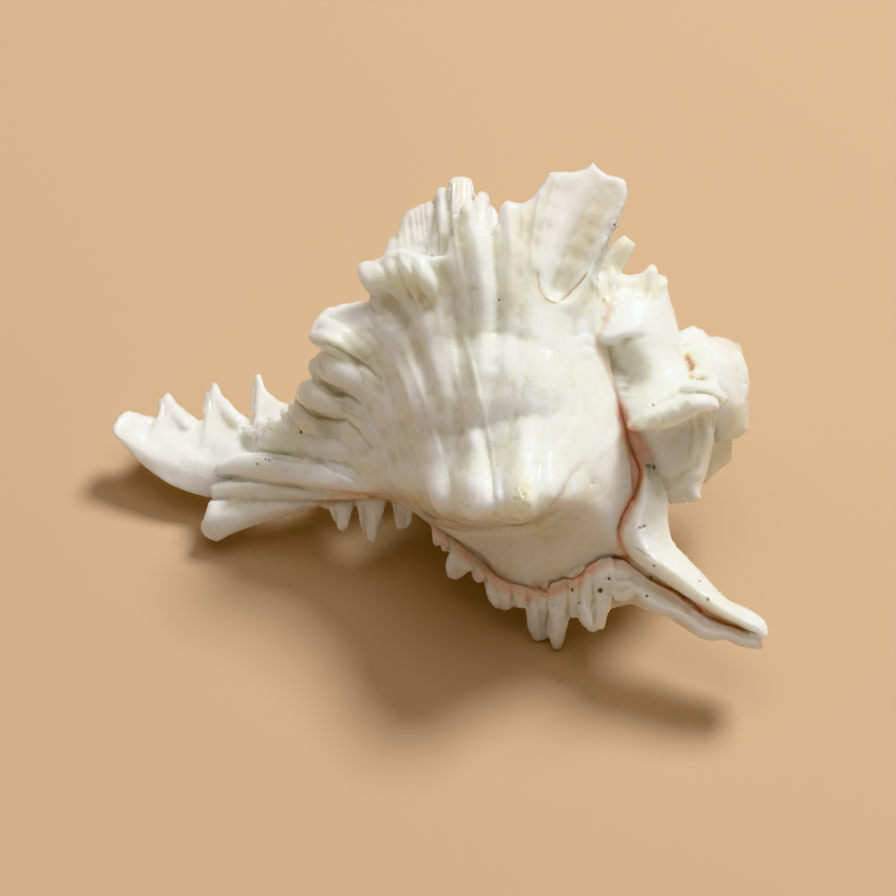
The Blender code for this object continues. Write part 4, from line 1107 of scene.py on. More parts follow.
BROAD_VALLEYS = [
    [(372, 292, 2.6, 0.8), (392, 310, 4.6, 2.4), (418, 350, 3.6, 1.2), (440, 410, 2.6, 0.4)],
    [(442, 266, 2.6, 0.7), (450, 300, 4.0, 1.1), (458, 350, 3.4, 0.6), (455, 420, 2.6, 0.4)],
    [(492, 234, 1.6, 1.0), (496, 280, 2.4, 1.0), (498, 330, 2.2, 0.5)],
    [(424, 518, 1.6, 0.8), (450, 529, 1.8, 1.4), (480, 532, 1.8, 1.4), (512, 530, 1.8, 1.4),
     (536, 526, 1.8, 1.2), (554, 512, 1.6, 1.0), (566, 494, 2.0, 1.2), (574, 474, 2.4, 0.9),
     (588, 462, 2.0, 0.3)],
    [(425, 540, 6.0, 0.0), (480, 555, 8.0, 0.8), (540, 550, 8.0, 0.8), (600, 530, 6.0, 0.2)],
]
relief = strokes(to_drawing(points)[0], BROAD_RIBS)
print("broad ribs:", len(BROAD_RIBS), "up to", round(float(relief.max()), 1), "mm high")

# %% Creases between the fronds
CREASES = [
    [(306, 340, 0.8, 0.6), (324, 343, 1.0, 1.6), (337, 349, 1.1, 1.8), (349, 357, 1.2, 1.6),
     (366, 367, 1.2, 1.1), (380, 379, 1.2, 0.4)],
    [(312, 379, 0.8, 0.6), (321, 385, 1.0, 1.4), (334, 393, 1.0, 1.4), (346, 396, 1.0, 1.2),
     (360, 404, 1.0, 0.5)],
    [(327, 392, 0.6, 0.3), (338, 402, 0.7, 0.5), (352, 410, 0.7, 0.3)],
    [(335, 404, 0.6, 0.3), (346, 411, 0.7, 0.5), (362, 420, 0.7, 0.2)],
    [(296, 403, 0.8, 0.6), (306, 409, 1.0, 1.2), (319, 418, 1.0, 1.4), (334, 421, 1.0, 1.2),
     (346, 420, 1.0, 0.9), (358, 430, 1.0, 0.7), (371, 448, 1.0, 0.3)],
    [(290, 460, 0.8, 0.8), (319, 460, 1.0, 1.0), (334, 470, 1.2, 0.8), (356, 482, 1.2, 0.3)],
    [(257, 449, 0.8, 0.7), (277, 457, 1.0, 1.3), (300, 459, 1.2, 1.0)],
    [(216, 476, 0.8, 0.9), (232, 478, 1.0, 1.3), (262, 482, 1.2, 1.2), (300, 489, 1.2, 0.9),
     (332, 497, 1.2, 0.5)],
    [(263, 432, 0.7, 1.0), (257, 440, 0.8, 1.2), (256, 447, 0.8, 1.0)],
    [(243, 430, 0.8, 0.6), (254, 426, 1.0, 0.9), (268, 421, 0.9, 0.4)],
    [(318, 360, 0.5, 0.9), (318, 366, 0.7, 1.2), (322, 371, 0.7, 0.5)],
    [(425, 243, 0.5, 0.7), (427, 250, 0.5, 0.9), (425, 257, 0.5, 0.7)],
    [(449, 470, 1.6, 0.2), (447, 490, 2.0, 0.6), (450, 516, 1.8, 0.7)],
    [(489, 452, 1.6, 0.1), (492, 480, 2.2, 0.7), (495, 516, 1.8, 0.8)],
    [(502, 470, 1.2, 0.1), (503, 490, 1.4, 0.3), (505, 514, 1.2, 0.3)],
    [(541, 465, 1.6, 0.2), (540, 485, 1.6, 0.5), (537, 506, 1.4, 0.5), (540, 516, 1.2, 0.4)],
    [(486, 420, 1.4, 0.1), (482, 436, 1.8, 0.25), (487, 450, 1.8, 0.25), (493, 466, 1.6, 0.1)],
]
crease_depth = strokes(to_drawing(points)[0], CREASES)
print("creases:", len(CREASES), "down to", round(float(crease_depth.max()), 1), "mm")

# %% Fine cords of the fan
CORDS = [
    [(381, 330, 1.0, 0.0), (393, 350, 1.1, 0.21), (403, 372, 1.0, 0.33), (411, 396, 1.0, 0.3),
     (420, 430, 1.0, 0.12)],
    [(398, 335, 1.0, 0.0), (407, 352, 1.1, 0.24), (415, 372, 1.1, 0.39), (423, 395, 1.0, 0.36),
     (434, 426, 1.1, 0.3), (441, 452, 1.0, 0.18)],
    [(369, 350, 1.0, 0.0), (383, 378, 1.0, 0.24), (393, 420, 1.0, 0.27), (402, 473, 1.0, 0.18)],
    [(355, 395, 1.0, 0.0), (372, 424, 1.0, 0.24), (386, 455, 1.0, 0.24), (397, 485, 1.0, 0.12)],
    [(462, 330, 1.0, 0.0), (469, 352, 1.0, 0.3), (476, 380, 1.0, 0.36), (479, 398, 1.0, 0.24)],
    [(470, 350, 0.7, 0.12), (474, 366, 0.8, 0.3), (481, 392, 0.8, 0.3), (490, 440, 0.9, 0.3),
     (498, 500, 1.0, 0.42)],
    [(452, 340, 1.2, 0.0), (455, 372, 1.4, 0.3), (462, 400, 1.2, 0.18), (468, 430, 1.2, 0.24)],
    [(512, 330, 1.2, 0.0), (516, 372, 1.3, 0.21), (520, 410, 1.3, 0.18), (523, 450, 1.3, 0.12)],
    [(545, 330, 1.4, 0.0), (548, 380, 1.6, 0.21), (549, 430, 1.5, 0.18), (549, 470, 1.3, 0.24)],
    [(575, 330, 1.4, 0.0), (579, 380, 1.6, 0.24), (580, 430, 1.6, 0.18), (576, 470, 1.3, 0.12)],
    [(395, 262, 0.6, 0.18), (406, 279, 0.8, 0.3), (419, 303, 0.9, 0.18), (430, 330, 0.9, 0.06)],
    [(401, 258, 0.6, 0.18), (413, 277, 0.8, 0.3), (426, 302, 0.9, 0.18)],
    [(409, 258, 0.6, 0.18), (420, 276, 0.8, 0.24), (432, 300, 0.9, 0.12)],
    [(418, 260, 0.6, 0.24), (428, 278, 0.8, 0.24), (438, 300, 0.9, 0.12)],
    [(377, 266, 0.7, 0.24), (386, 280, 0.9, 0.3), (396, 296, 0.9, 0.12)],
    [(452, 220, 0.6, 0.24), (456, 245, 0.8, 0.3), (464, 285, 0.9, 0.12)],
    [(489, 240, 0.7, 0.12), (490, 262, 0.8, 0.24), (495, 300, 0.9, 0.06)],
    [(523, 208, 0.8, 0.24), (524, 240, 0.9, 0.24), (524, 280, 1.0, 0.12)],
    [(541, 192, 0.8, 0.3), (535, 225, 0.9, 0.3), (531, 265, 1.0, 0.18)],
    [(556, 178, 0.8, 0.3), (547, 215, 0.9, 0.24), (541, 250, 0.9, 0.12)],
]
print("cords:", len(CORDS))

# %% The spoon of the tall frond
SPOON = [(561, 286, 4.6, 2.2), (572, 258, 5.6, 1.7), (588, 222, 6.0, 1.1), (604, 194, 5.4, 0.4)]
SPOON_LEVEL = 0.3
spoon_depth = stroke(to_drawing(points)[0], SPOON, SPOON_LEVEL)
print("spoon, mm deep:", round(float(spoon_depth.max()), 1))

# %% Flutes of the fringe and the low spines
FLUTE_RIDGES = [
    [(534, 598, 0.8, 0.2), (539, 638, 0.7, 0.5)], [(557, 600, 0.8, 0.2), (556, 644, 0.7, 0.5)],
    [(586, 574, 0.8, 0.3), (583, 600, 0.7, 0.5), (590, 627, 0.7, 0.5)],
    [(594, 606, 0.7, 0.5), (590, 624, 0.7, 0.5)],
    [(345, 506, 0.9, 0.4), (346, 526, 0.8, 0.5)], [(374, 504, 1.0, 0.5), (374, 541, 0.8, 0.5)],
    [(398, 503, 0.7, 0.4), (398, 526, 0.6, 0.5)], [(411, 503, 0.7, 0.4), (409, 524, 0.6, 0.4)],
]
FLUTE_VALLEYS = [
    [(447, 535, 0.8, 0.3), (447, 552, 0.8, 0.9)], [(468, 556, 0.8, 0.3), (472, 570, 0.9, 0.8)],
    [(484, 568, 0.8, 0.3), (485, 580, 0.8, 0.8)], [(510, 585, 0.8, 0.3), (512, 602, 0.8, 1.0)],
    [(527, 590, 0.8, 0.5), (528, 612, 0.9, 1.1)], [(546, 592, 0.6, 0.3), (548, 632, 0.8, 1.2)],
    [(566, 585, 0.8, 0.4), (568, 620, 0.9, 1.0)], [(579, 576, 0.8, 0.4), (578, 614, 0.9, 1.0)],
    [(592, 575, 0.9, 0.2), (593, 600, 1.2, 1.2), (594, 622, 0.9, 0.6)],
    [(362, 508, 0.8, 0.3), (363, 534, 0.7, 0.8)], [(404, 506, 0.9, 0.3), (404, 527, 0.8, 0.9)],
    [(336, 508, 0.8, 0.2), (337, 520, 0.8, 0.4)],
    [(618, 580, 1.2, 0.4), (630, 580, 1.6, 0.7), (655, 592, 1.2, 0.5), (690, 612, 0.9, 0.4)],
]
SLIT = [(622, 557, 0.5, 0.5), (628, 561, 0.5, 0.8), (648, 576, 0.6, 1.2), (677, 592, 0.6, 1.6),
        (707, 616, 0.7, 1.8), (728, 624, 0.6, 1.6), (742, 628, 0.6, 1.2), (757, 634, 0.5, 0.5)]
print("flutes:", len(FLUTE_RIDGES) + len(FLUTE_VALLEYS))

# %% Ridges and hollows of the spire
SPIRE_RIDGES = [
    [(646, 416, 1.2, 0.4), (649, 424, 1.2, 0.4)], [(660, 413, 1.3, 0.4), (663, 422, 1.3, 0.4)],
    [(674, 409, 1.3, 0.5), (678, 418, 1.3, 0.4)], [(689, 402, 1.2, 0.4), (693, 411, 1.2, 0.4)],
    [(618, 378, 0.6, 0.25), (630, 379, 0.6, 0.25)], [(620, 386, 0.5, 0.2), (628, 386, 0.5, 0.2)],
    [(622, 394, 0.6, 0.2), (634, 395, 0.6, 0.2)],
    [(680, 388, 1.0, 0.3), (694, 387, 1.2, 1.2), (708, 389, 1.1, 1.2), (724, 399, 0.8, 0.8)],
    [(705, 416, 0.9, 0.6), (708, 431, 1.0, 1.0), (704, 452, 0.9, 0.6), (698, 476, 0.9, 0.4)],
    [(694, 416, 0.7, 0.3), (696, 434, 0.8, 0.6), (692, 456, 0.7, 0.3)],
    [(684, 356, 0.8, 0.5), (694, 351, 0.8, 0.8), (706, 346, 0.8, 0.8), (717, 345, 0.8, 0.5)],
    [(604, 316, 0.6, 0.5), (613, 305, 0.7, 0.8), (622, 300, 0.6, 0.3)],
    [(590, 276, 0.8, 0.4), (600, 292, 1.0, 0.8), (610, 304, 0.9, 0.5)],
    [(582, 340, 1.4, 0.2), (587, 338, 1.6, 0.5), (591, 341, 1.4, 0.2)],
    [(586, 350, 1.4, 0.4), (590, 353, 1.4, 0.4)],
    [(652, 272, 1.0, 0.6), (652, 288, 1.2, 0.5), (648, 306, 1.0, 0.2)],
    [(664, 282, 1.0, 0.9), (662, 286, 1.0, 0.7)],
    [(612, 276, 0.9, 0.6), (614, 290, 1.0, 0.4)],
    [(690, 486, 1.4, 0.5), (697, 497, 1.4, 1.0)],
    [(746, 428, 0.9, 0.8), (749, 430, 0.9, 0.8)],
    [(738, 360, 0.7, 0.8), (744, 372, 0.8, 0.8), (746, 396, 0.7, 0.6)],
]
SPIRE_HOLLOWS = [
    [(610, 347, 1.4, 0.2), (626, 341, 1.8, 0.8), (640, 337, 1.6, 0.6), (648, 336, 1.2, 0.2)],
    [(612, 284, 3.0, 0.4), (632, 288, 4.0, 1.0), (652, 296, 3.0, 0.4)],
    [(716, 412, 0.8, 1.0), (715, 426, 0.8, 1.2), (716, 440, 0.8, 0.8)],
    [(698, 392, 0.7, 0.9), (710, 395, 0.7, 1.0), (720, 402, 0.6, 0.7)],
    [(653, 404, 1.2, 0.8), (660, 400, 1.4, 0.9), (672, 396, 1.2, 0.6)],
    [(684, 345, 0.8, 0.9), (698, 343, 0.9, 0.9), (708, 340, 0.8, 0.6)],
    [(702, 456, 1.6, 0.3), (690, 470, 2.0, 0.7), (676, 480, 1.6, 0.3)],
    [(648, 452, 2.0, 0.4), (654, 475, 2.2, 1.0), (660, 492, 1.8, 0.5)],
    [(734, 352, 0.6, 0.5), (738, 362, 0.6, 0.7), (741, 380, 0.6, 0.7), (743, 398, 0.6, 0.4)],
    [(686, 356, 1.0, 0.9), (691, 366, 1.4, 1.2), (692, 377, 1.0, 0.8)],
]
SUTURE = [(602, 355, 1.0, 0.1), (608, 369, 1.0, 0.2), (616, 393, 1.0, 0.2), (620, 407, 1.0, 0.3),
          (625, 424, 1.0, 0.4), (630, 445, 1.0, 0.5), (638, 463, 0.9, 0.5), (640, 475, 0.8, 0.5),
          (637, 490, 0.8, 0.5), (628, 508, 0.7, 0.5), (621, 520, 0.7, 0.4), (618, 533, 0.7, 0.4),
          (621, 545, 0.7, 0.4), (628, 557, 0.7, 0.4)]
OLD_LIP_CRACK = [
    (434, 524, 0.6, 0.4), (446, 533, 0.6, 0.5), (457, 541, 0.6, 0.6), (471, 552, 0.6, 0.6),
    (488, 566, 0.6, 0.6), (496, 574, 0.6, 0.6), (504, 578, 0.6, 0.6), (510, 582, 0.6, 0.6),
    (519, 583, 0.6, 0.6), (531, 588, 0.6, 0.6), (541, 588, 0.6, 0.8), (546, 592, 0.6, 1.0),
    (549, 582, 0.6, 0.8), (562, 578, 0.6, 0.8), (573, 579, 0.6, 0.8), (581, 575, 0.6, 0.8),
    (585, 566, 0.6, 0.8), (592, 562, 0.6, 0.8), (601, 557, 0.6, 0.8), (612, 556, 0.6, 0.8),
    (622, 557, 0.7, 0.8),
]
print("spire strokes:", len(SPIRE_RIDGES) + len(SPIRE_HOLLOWS))

# %% Ridges and hollows of the canal, and the scallops' flutes
CANAL_RIDGES = [
    [(180, 418, 1.6, 0.3), (204, 448, 2.4, 0.3)], [(228, 412, 1.8, 0.3), (250, 438, 2.0, 0.2)],
    [(120, 418, 0.8, 0.3), (116, 428, 0.9, 0.3)],
    [(219, 466, 0.7, 0.5), (217, 471, 0.7, 0.5)],
    [(247, 482, 2.0, 0.5), (290, 478, 2.2, 0.8), (330, 484, 2.0, 0.5)],
    [(215, 490, 1.6, 0.5), (250, 487, 1.8, 0.5)],
]
CANAL_HOLLOWS = [
    [(190, 426, 2.0, 0.2), (198, 444, 3.4, 0.7), (214, 460, 3.0, 0.2)],
    [(238, 428, 1.6, 0.2), (243, 444, 2.4, 0.5), (252, 456, 2.0, 0.2)],
    [(148, 424, 2.0, 0.2), (152, 436, 3.0, 0.3), (160, 448, 2.4, 0.2)],
    [(163, 402, 0.5, 0.4), (165, 414, 0.6, 0.4)], [(210, 394, 0.5, 0.4), (212, 410, 0.6, 0.4)],
]
SCALLOP_FLUTES = [
    [(x, top, 0.5, 0.3), (x + lean, top + 34, 0.6, 0.15)]
    for x, top, lean in [(412, 214, 3), (417, 210, 3), (422, 207, 3), (427, 205, 3), (405, 220, 3),
                         (453, 183, 0), (458, 181, 0), (463, 181, 0), (468, 183, 0),
                         (399, 232, 3), (441, 192, 1), (484, 197, 0)]
]
SCALLOP_GAPS = [
    [(434, 198, 0.7, 1.4), (434, 222, 0.9, 1.6), (438, 250, 0.9, 0.8)],
    [(449, 186, 0.7, 1.2), (448, 215, 0.9, 1.6), (450, 235, 0.9, 0.8)],
    [(474, 186, 0.7, 1.2), (476, 205, 0.9, 1.4), (477, 226, 0.8, 1.0)],
    [(490, 203, 0.7, 1.4), (491, 220, 0.8, 1.4), (490, 234, 0.8, 0.8)],
]
print("canal strokes:", len(CANAL_RIDGES) + len(CANAL_HOLLOWS))

# %% [markdown]
# Small living things have bored into the old shell. The pits are strokes with no length.

# %% Pits
PITS = [
    # grid place, radius mm, depth mm
    (648, 466, 0.7, 1.1), (654, 468, 0.6, 0.8), (499, 300, 0.35, 0.6), (432, 256, 0.4, 0.7),
    (609, 579, 0.5, 0.7), (600, 591, 0.75, 1.3), (579, 603, 0.45, 0.6), (572, 590, 0.5, 0.6),
    (647, 596, 0.5, 0.6), (700, 581, 0.4, 0.5), (708, 599, 0.5, 0.5), (654, 566, 0.4, 0.5),
    (257, 464, 0.35, 0.4), (265, 459, 0.35, 0.5), (269, 460, 0.4, 0.5), (301, 432, 0.4, 0.5),
    (653, 405, 0.4, 0.4), (640, 528, 0.4, 0.4), (644, 526, 0.4, 0.4), (651, 578, 0.5, 0.5),
]
PITTED_SPOTS = [
    # grid place and radius of a patch of small pits, in steps, and how many there are
    (522, 498, 13, 46), (470, 500, 11, 18), (741, 378, 9, 9), (595, 482, 5, 5),
]
SPOT_NARROW = 0.7               # a patch is this much narrower than it is high
SMALL_PIT = (0.3, 0.55)         # least and largest radius, mm
PIT_DEPTH = 0.5                 # share of a small pit's radius
# The pits listed above are painted dark in the material: painted shade inside the bore holes, with a
# brown stain. The ones added below are not painted.
DARKENED_PITS = len(PITS)        # the others are clean

random = np.random.default_rng(12)
for a, b, reach, count in PITTED_SPOTS:
    for _ in range(count):
        spread = reach * np.sqrt(random.random())
        turn = random.random() * 2 * math.pi
        radius = random.uniform(*SMALL_PIT)
        PITS.append((a + SPOT_NARROW * spread * math.cos(turn), b + spread * math.sin(turn),
                     radius, radius * PIT_DEPTH))
print("pits:", len(PITS))

# %% [markdown]
# ## Relief from rules
#
# Where nothing is drawn, the shell still has texture. Noise on a lattice gives soft lumps. The
# cords run round the whorl: their number between two turns is whole, so they meet themselves
# after one turn. Growth lines cross them, because each was once the lip.

# %% Noise
def lattice_noise(points, size, seed):
    """Smooth noise from -1 to 1, with lumps of the given size."""
    p = points / size
    cell = np.floor(p).astype(np.int64)
    t = p - cell
    t = t * t * t * (t * (6 * t - 15) + 10)
    total = np.zeros(len(p))
    for corner in range(8):
        step = np.array([corner & 1, corner >> 1 & 1, corner >> 2 & 1])
        c = cell + step
        h = c[:, 0] * 374761393 + c[:, 1] * 668265263 + c[:, 2] * 2147483647 + seed * 144665
        h = (h ^ (h >> 13)) * 1274126177
        value = ((h ^ (h >> 16)) & 0xFFFF) / 32767.5 - 1
        weight = np.prod(np.where(step, t, 1 - t), axis=1)
        total += weight * value
    return total


def layered(points, size, seed, layers=3):
    """Noise in layers, each twice as fine and half as strong."""
    return sum(lattice_noise(points, size / 2**k, seed + k) / 2**k for k in range(layers))


print("noise spreads", round(float(lattice_noise(points / MM, 3.0, 1).std()), 2))

# %% Cords and growth lines round the axis
CORDS_A_TURN = 9                # cords that one whorl adds
CORD_HEIGHT = 0.34              # mm
GROWTH_LINES = 46               # growth lines in one turn
LINE_HEIGHT = 0.16              # mm
CORD_WANDER = 0.12              # cords that a cord may stray
LINE_WANDER = 5.0               # how far a growth line strays, radians of its wave


def round_axis(points):
    """Mm along the axis, mm from it and degrees round it, for each point."""
    flat = np.column_stack(off_table(points)) - AXIS_ORIGIN
    along = flat @ AXIS_WAY
    out, up = flat @ AXIS_OUT, flat @ AXIS_UP
    return along, np.hypot(out, up), np.degrees(np.arctan2(up, out))


def whorl_relief(points):
    """Cords and growth lines on the far side, in mm."""
    along, away, angle = round_axis(points)
    turns = np.log(np.maximum(APEX - along, 4.0)) / math.log(GROWTH)
    bend = CORD_WANDER * lattice_noise(points / MM, 9.0, 5)
    cord = np.cos(2 * math.pi * CORDS_A_TURN * (turns - angle / 360 + bend / CORDS_A_TURN * 2))
    stray = LINE_WANDER * lattice_noise(points / MM, 7.0, 6)
    line = np.cos(np.radians(angle) * GROWTH_LINES + stray)
    patch = 0.4 + 0.6 * (lattice_noise(points / MM, 11, 7) > 0)
    return CORD_HEIGHT * cord + LINE_HEIGHT * line * patch


print("far relief spreads", round(float(whorl_relief(points[:5000]).std()), 2), "mm")

# %% Streaks of the fan
FAN_HEART = (470, 585)          # grid place that the cords of the fan come from
STREAKS = [
    # heights in mm of the cords, the finer cords, the growth waves and the lumps between them
    0.14, 0.06, 0.16, 0.12,
]


def fan_streaks(places, points):
    """Fine uneven cords that fan out, crossed by soft growth waves, in mm."""
    from_heart = places - on_drawing(FAN_HEART)
    angle = np.degrees(np.arctan2(from_heart[:, 0], from_heart[:, 1]))
    far = np.hypot(*from_heart.T)
    lane = np.column_stack([angle / 2.6, far / 26, np.zeros(len(far))])
    fine = np.column_stack([angle / 1.1, far / 14, np.ones(len(far))])
    wave = np.column_stack([angle / 30, far / 3.6, np.full(len(far), 2.0)])
    lumps = points / MM / 2.2
    layers = zip(STREAKS, (lane, fine, wave, lumps), range(21, 25))
    return sum(height * lattice_noise(spots, 1.0, seed) for height, spots, seed in layers)


print("streaks spread", round(float(fan_streaks(to_drawing(points)[0], points).std()), 2), "mm")

# %% Carve the skin
SMOOTH_FACE = [(470, 545, 9.0, 1.0), (540, 556, 9.0, 1.0), (600, 540, 8.0, 1.0)]
SMOOTH_MOUTH = 26.0             # how far the polished part reaches from the mouth's middle, mm
THROUGH = 0.8                   # share of a broad rib that shows on the back of the thin fan
LUMPS = 0.10                    # height of the soft lumps that lie everywhere, mm
# Where each of these starts, and how much further on it is whole
STROKES_SHOW = (0.05, 0.35)     # how much the skin faces the eye
RULES_SHOW = (-0.05, 0.35)      # how much it faces away
BACK_SHOWS = (0.1, 0.4)         # the same, for the back of the fan
FAN_THIN_UP = (22, 8)           # mm up the drawing
FAN_THIN_OUT = (14, 6)          # mm out of it
POLISH_ENDS = (SMOOTH_MOUTH - 6, 6)     # mm from the mouth's middle
POLISH_PAST_LIP = 10            # where that middle is, degrees past the lip


def from_mouth(points, past_lip):
    """How far points are from the middle of the mouth, some degrees past the lip, in mm."""
    mouth = turned((MOUTH_ALONG, MOUTH_OUT, LIP_ANGLE + past_lip))[0]
    return np.linalg.norm(points - mouth, axis=1) / MM


def carve(points, normals, seen):
    """The carved places of all points."""
    places, out = to_drawing(points)
    toward = normals @ TO_EYE
    facing = ramp(toward, *STROKES_SHOW) * np.clip(seen * 1.6 - 0.2, 0, 1)
    raised = strokes(places, BROAD_RIBS + CORDS + FLUTE_RIDGES + SPIRE_RIDGES + CANAL_RIDGES)
    raised += strokes(places, SCALLOP_FLUTES)
    raised -= strokes(places, BROAD_VALLEYS + CREASES + FLUTE_VALLEYS + SPIRE_HOLLOWS)
    raised -= strokes(places, CANAL_HOLLOWS + SCALLOP_GAPS + [SLIT, SUTURE, OLD_LIP_CRACK])
    raised -= stroke(places, SPOON, SPOON_LEVEL)
    for a, b, radius, depth in PITS:
        raised -= stroke(places, [(a, b, radius, depth), (a + 0.01, b, radius, depth)], 0.4)
    smooth = np.clip(stroke(places, SMOOTH_FACE), 0, 1)
    raised += fan_streaks(places, points) * (1 - 0.75 * smooth)

    polish = ramp(from_mouth(points, POLISH_PAST_LIP), *POLISH_ENDS)
    hidden = whorl_relief(points) * polish
    through = ramp(-toward, *BACK_SHOWS) * (1 - seen)
    through *= ramp(places[:, 1], *FAN_THIN_UP) * ramp(out, *FAN_THIN_OUT)
    hidden = hidden * (1 - through) - THROUGH * strokes(places, BROAD_RIBS) * through
    relief = raised * facing + hidden * (1 - seen) * ramp(-toward, *RULES_SHOW)
    relief += LUMPS * layered(points / MM, 5.0, 31) * polish
    return points + normals * relief[:, None] * MM


carved = carve(points, normals, seen)
move(shell.data, carved)
print("largest move, mm:", round(float(np.linalg.norm(carved - points, axis=1).max() / MM), 2))

# %% Wander
WANDER = 0.25                   # how far the edges stray from their drawn line, mm
WANDER_SIZE = 2.6               # size of one stray bit, mm

points, normals = read(shell.data)
stray = np.column_stack([layered(points / MM, WANDER_SIZE, 40 + 9 * k, 2) for k in range(3)])
bend = np.linalg.norm(points - blurred(points, ends, 14), axis=1) / MM
stray *= np.clip(bend[:, None], 0, 1)
points = points + stray * WANDER * MM
move(shell.data, points)
print("edges stray up to", round(float(np.abs(stray).max() * WANDER), 2), "mm")

# %% [markdown]
# ## Fewer triangles, and flat feet
#
# The skin is far finer than it needs to be on its smooth parts. Decimate keeps triangles where
# the surface bends. The tips that carry the shell are worn flat at the height of the table.

# %% Thin out the skin
TRIANGLES = 188_000

shell.data.calc_loop_triangles()
before = len(shell.data.loop_triangles)
if before > TRIANGLES:
    thin = shell.modifiers.new("thin", "DECIMATE")
    thin.ratio = TRIANGLES / before
    settle(shell)
print("triangles:", before, "to", len(shell.data.polygons))

# %% Wear the resting tips flat
FLOOR_GAP = 0.02                # mm, so that the tips and the floor don't flicker

body = bmesh.new()
body.from_mesh(shell.data)
ground = bmesh.ops.bisect_plane(
    body,
    geom=body.verts[:] + body.edges[:] + body.faces[:],
    plane_co=(0, 0, FLOOR_GAP * MM),
    plane_no=(0, 0, 1),
    clear_inner=True,
)
rim = [e for e in ground["geom_cut"] if isinstance(e, bmesh.types.BMEdge)]
bmesh.ops.holes_fill(body, edges=rim, sides=0)
bmesh.ops.triangulate(body, faces=body.faces[:])
bmesh.ops.recalc_face_normals(body, faces=body.faces[:])
body.to_mesh(shell.data)
body.free()
mended = shell.data.validate()  # drops any doubled or broken triangle that the cuts left
shell.data.shade_smooth()
print("resting edges:", len(rim), "mended:", mended)

# %% [markdown]
# ## Stains
# ## Stains, painted shade and painted light
# Where one layer of shell laps over another, the old shell keeps a trace of its salmon colour,
# and dirt has settled in the cracks. Each stain is a stroke again, and so are the strokes of
# painted shade and painted light that lie among them. Its strength is stored on the points of the
# mesh, where the material can read it.

# %% Paint the stains, the painted shade and the painted light
SALMON = [
    [(434, 530, 1.6, 0.4), (456, 548, 2.0, 0.5), (484, 572, 2.4, 0.8), (505, 586, 2.6, 0.8),
     (530, 594, 2.6, 0.8), (550, 590, 2.4, 0.9), (573, 585, 2.2, 0.8), (586, 573, 2.2, 0.9),
     (602, 565, 1.8, 0.7), (618, 562, 1.5, 0.7), (640, 575, 1.4, 0.5)],
    [(600, 348, 1.2, 0.15), (612, 380, 1.2, 0.2), (619, 398, 1.4, 0.4), (623, 412, 2.0, 1.0),
     (628, 430, 2.6, 1.0), (636, 450, 3.4, 1.0), (641, 470, 2.6, 1.0), (637, 488, 2.2, 1.0),
     (629, 506, 2.0, 0.9), (620, 528, 1.8, 0.7), (620, 545, 1.6, 0.6), (630, 560, 1.6, 0.6)],
    [(634, 434, 2.0, 0.8), (644, 447, 2.4, 0.8), (652, 458, 1.6, 0.5)],
    [(650, 580, 1.6, 0.6), (690, 606, 2.2, 0.6), (740, 631, 1.8, 0.4)],
    [(318, 504, 1.2, 0.5), (341, 496, 1.6, 0.6), (374, 494, 1.7, 0.6), (400, 498, 1.6, 0.6),
     (418, 503, 1.4, 0.4)],
    [(597, 346, 1.0, 0.2), (606, 322, 1.2, 0.4), (612, 306, 1.2, 0.35)],
]
ORANGE = [
    [(605, 302, 1.4, 0.4), (612, 312, 1.6, 0.4), (606, 322, 1.2, 0.3)],
    [(688, 356, 1.6, 0.9), (692, 366, 1.8, 0.9), (691, 377, 1.2, 0.7)],
    [(701, 374, 0.8, 0.5), (703, 380, 0.8, 0.4)],
    [(649, 578, 0.8, 0.9), (650, 580, 0.8, 0.9)],
    [(536, 268, 0.9, 0.3), (539, 286, 1.0, 0.4), (548, 302, 1.1, 0.5), (562, 300, 1.0, 0.4),
     (577, 286, 1.0, 0.5), (586, 274, 0.9, 0.4)],
]
CREAM = [
    [(366, 268, 4.0, 0.5), (395, 280, 6.0, 0.7), (430, 282, 6.0, 0.5)],
    [(448, 186, 4.0, 0.9), (462, 184, 4.5, 1.0), (470, 205, 4.0, 0.9), (462, 225, 4.0, 0.6)],
    [(500, 250, 5.0, 0.5), (520, 215, 5.0, 0.5), (548, 190, 5.0, 0.4)],
    [(505, 450, 5.0, 0.4), (522, 480, 5.0, 0.9), (524, 505, 4.0, 1.0)],
    [(560, 320, 7.0, 0.5), (600, 290, 6.0, 0.6), (630, 290, 6.0, 0.4), (655, 288, 5.0, 0.5)],
    [(690, 410, 3.0, 0.2), (705, 404, 3.0, 0.3)],
    [(330, 342, 2.6, 0.8), (350, 345, 3.0, 0.5)],
    [(250, 474, 2.2, 0.6), (280, 474, 2.4, 0.5)],
    [(655, 560, 3.0, 0.6), (700, 590, 3.0, 0.5), (745, 620, 2.4, 0.4)],
    [(560, 400, 12.0, 0.3), (590, 430, 10.0, 0.3)],
]
# Cool white strokes: a cooler tone of the shell on the canal, lobe, left fronds and crown, and painted
# light that lifts the shaded low spines, fringe, flange and the dish below the node
COOL_TONE_AND_PAINTED_LIGHT = [
    [(120, 424, 6.0, 1.0), (165, 440, 12.0, 1.0), (215, 460, 12.0, 1.0), (262, 474, 8.0, 0.6)],
    [(160, 400, 5.0, 1.0), (214, 398, 6.0, 1.0), (260, 392, 5.0, 0.9)],
    [(212, 526, 6.0, 1.0), (250, 514, 6.0, 0.9), (300, 503, 4.0, 0.6)],
    [(312, 350, 4.0, 0.8), (330, 318, 4.0, 0.8), (356, 310, 3.0, 0.5)],
    [(340, 515, 6.0, 0.8), (370, 522, 6.0, 0.8), (404, 515, 5.0, 0.8)],
    [(601, 312, 4.0, 0.7), (632, 322, 4.0, 0.9), (667, 330, 4.0, 0.7)],
    [(455, 575, 5.0, 0.8), (500, 604, 5.0, 0.8), (548, 626, 6.0, 0.8), (592, 615, 6.0, 0.8)],
    [(640, 600, 4.0, 0.7), (690, 622, 4.0, 0.7), (760, 645, 4.0, 0.8)],
    [(470, 545, 7.0, 0.8), (540, 556, 7.0, 0.8), (600, 530, 6.0, 0.6)],
]
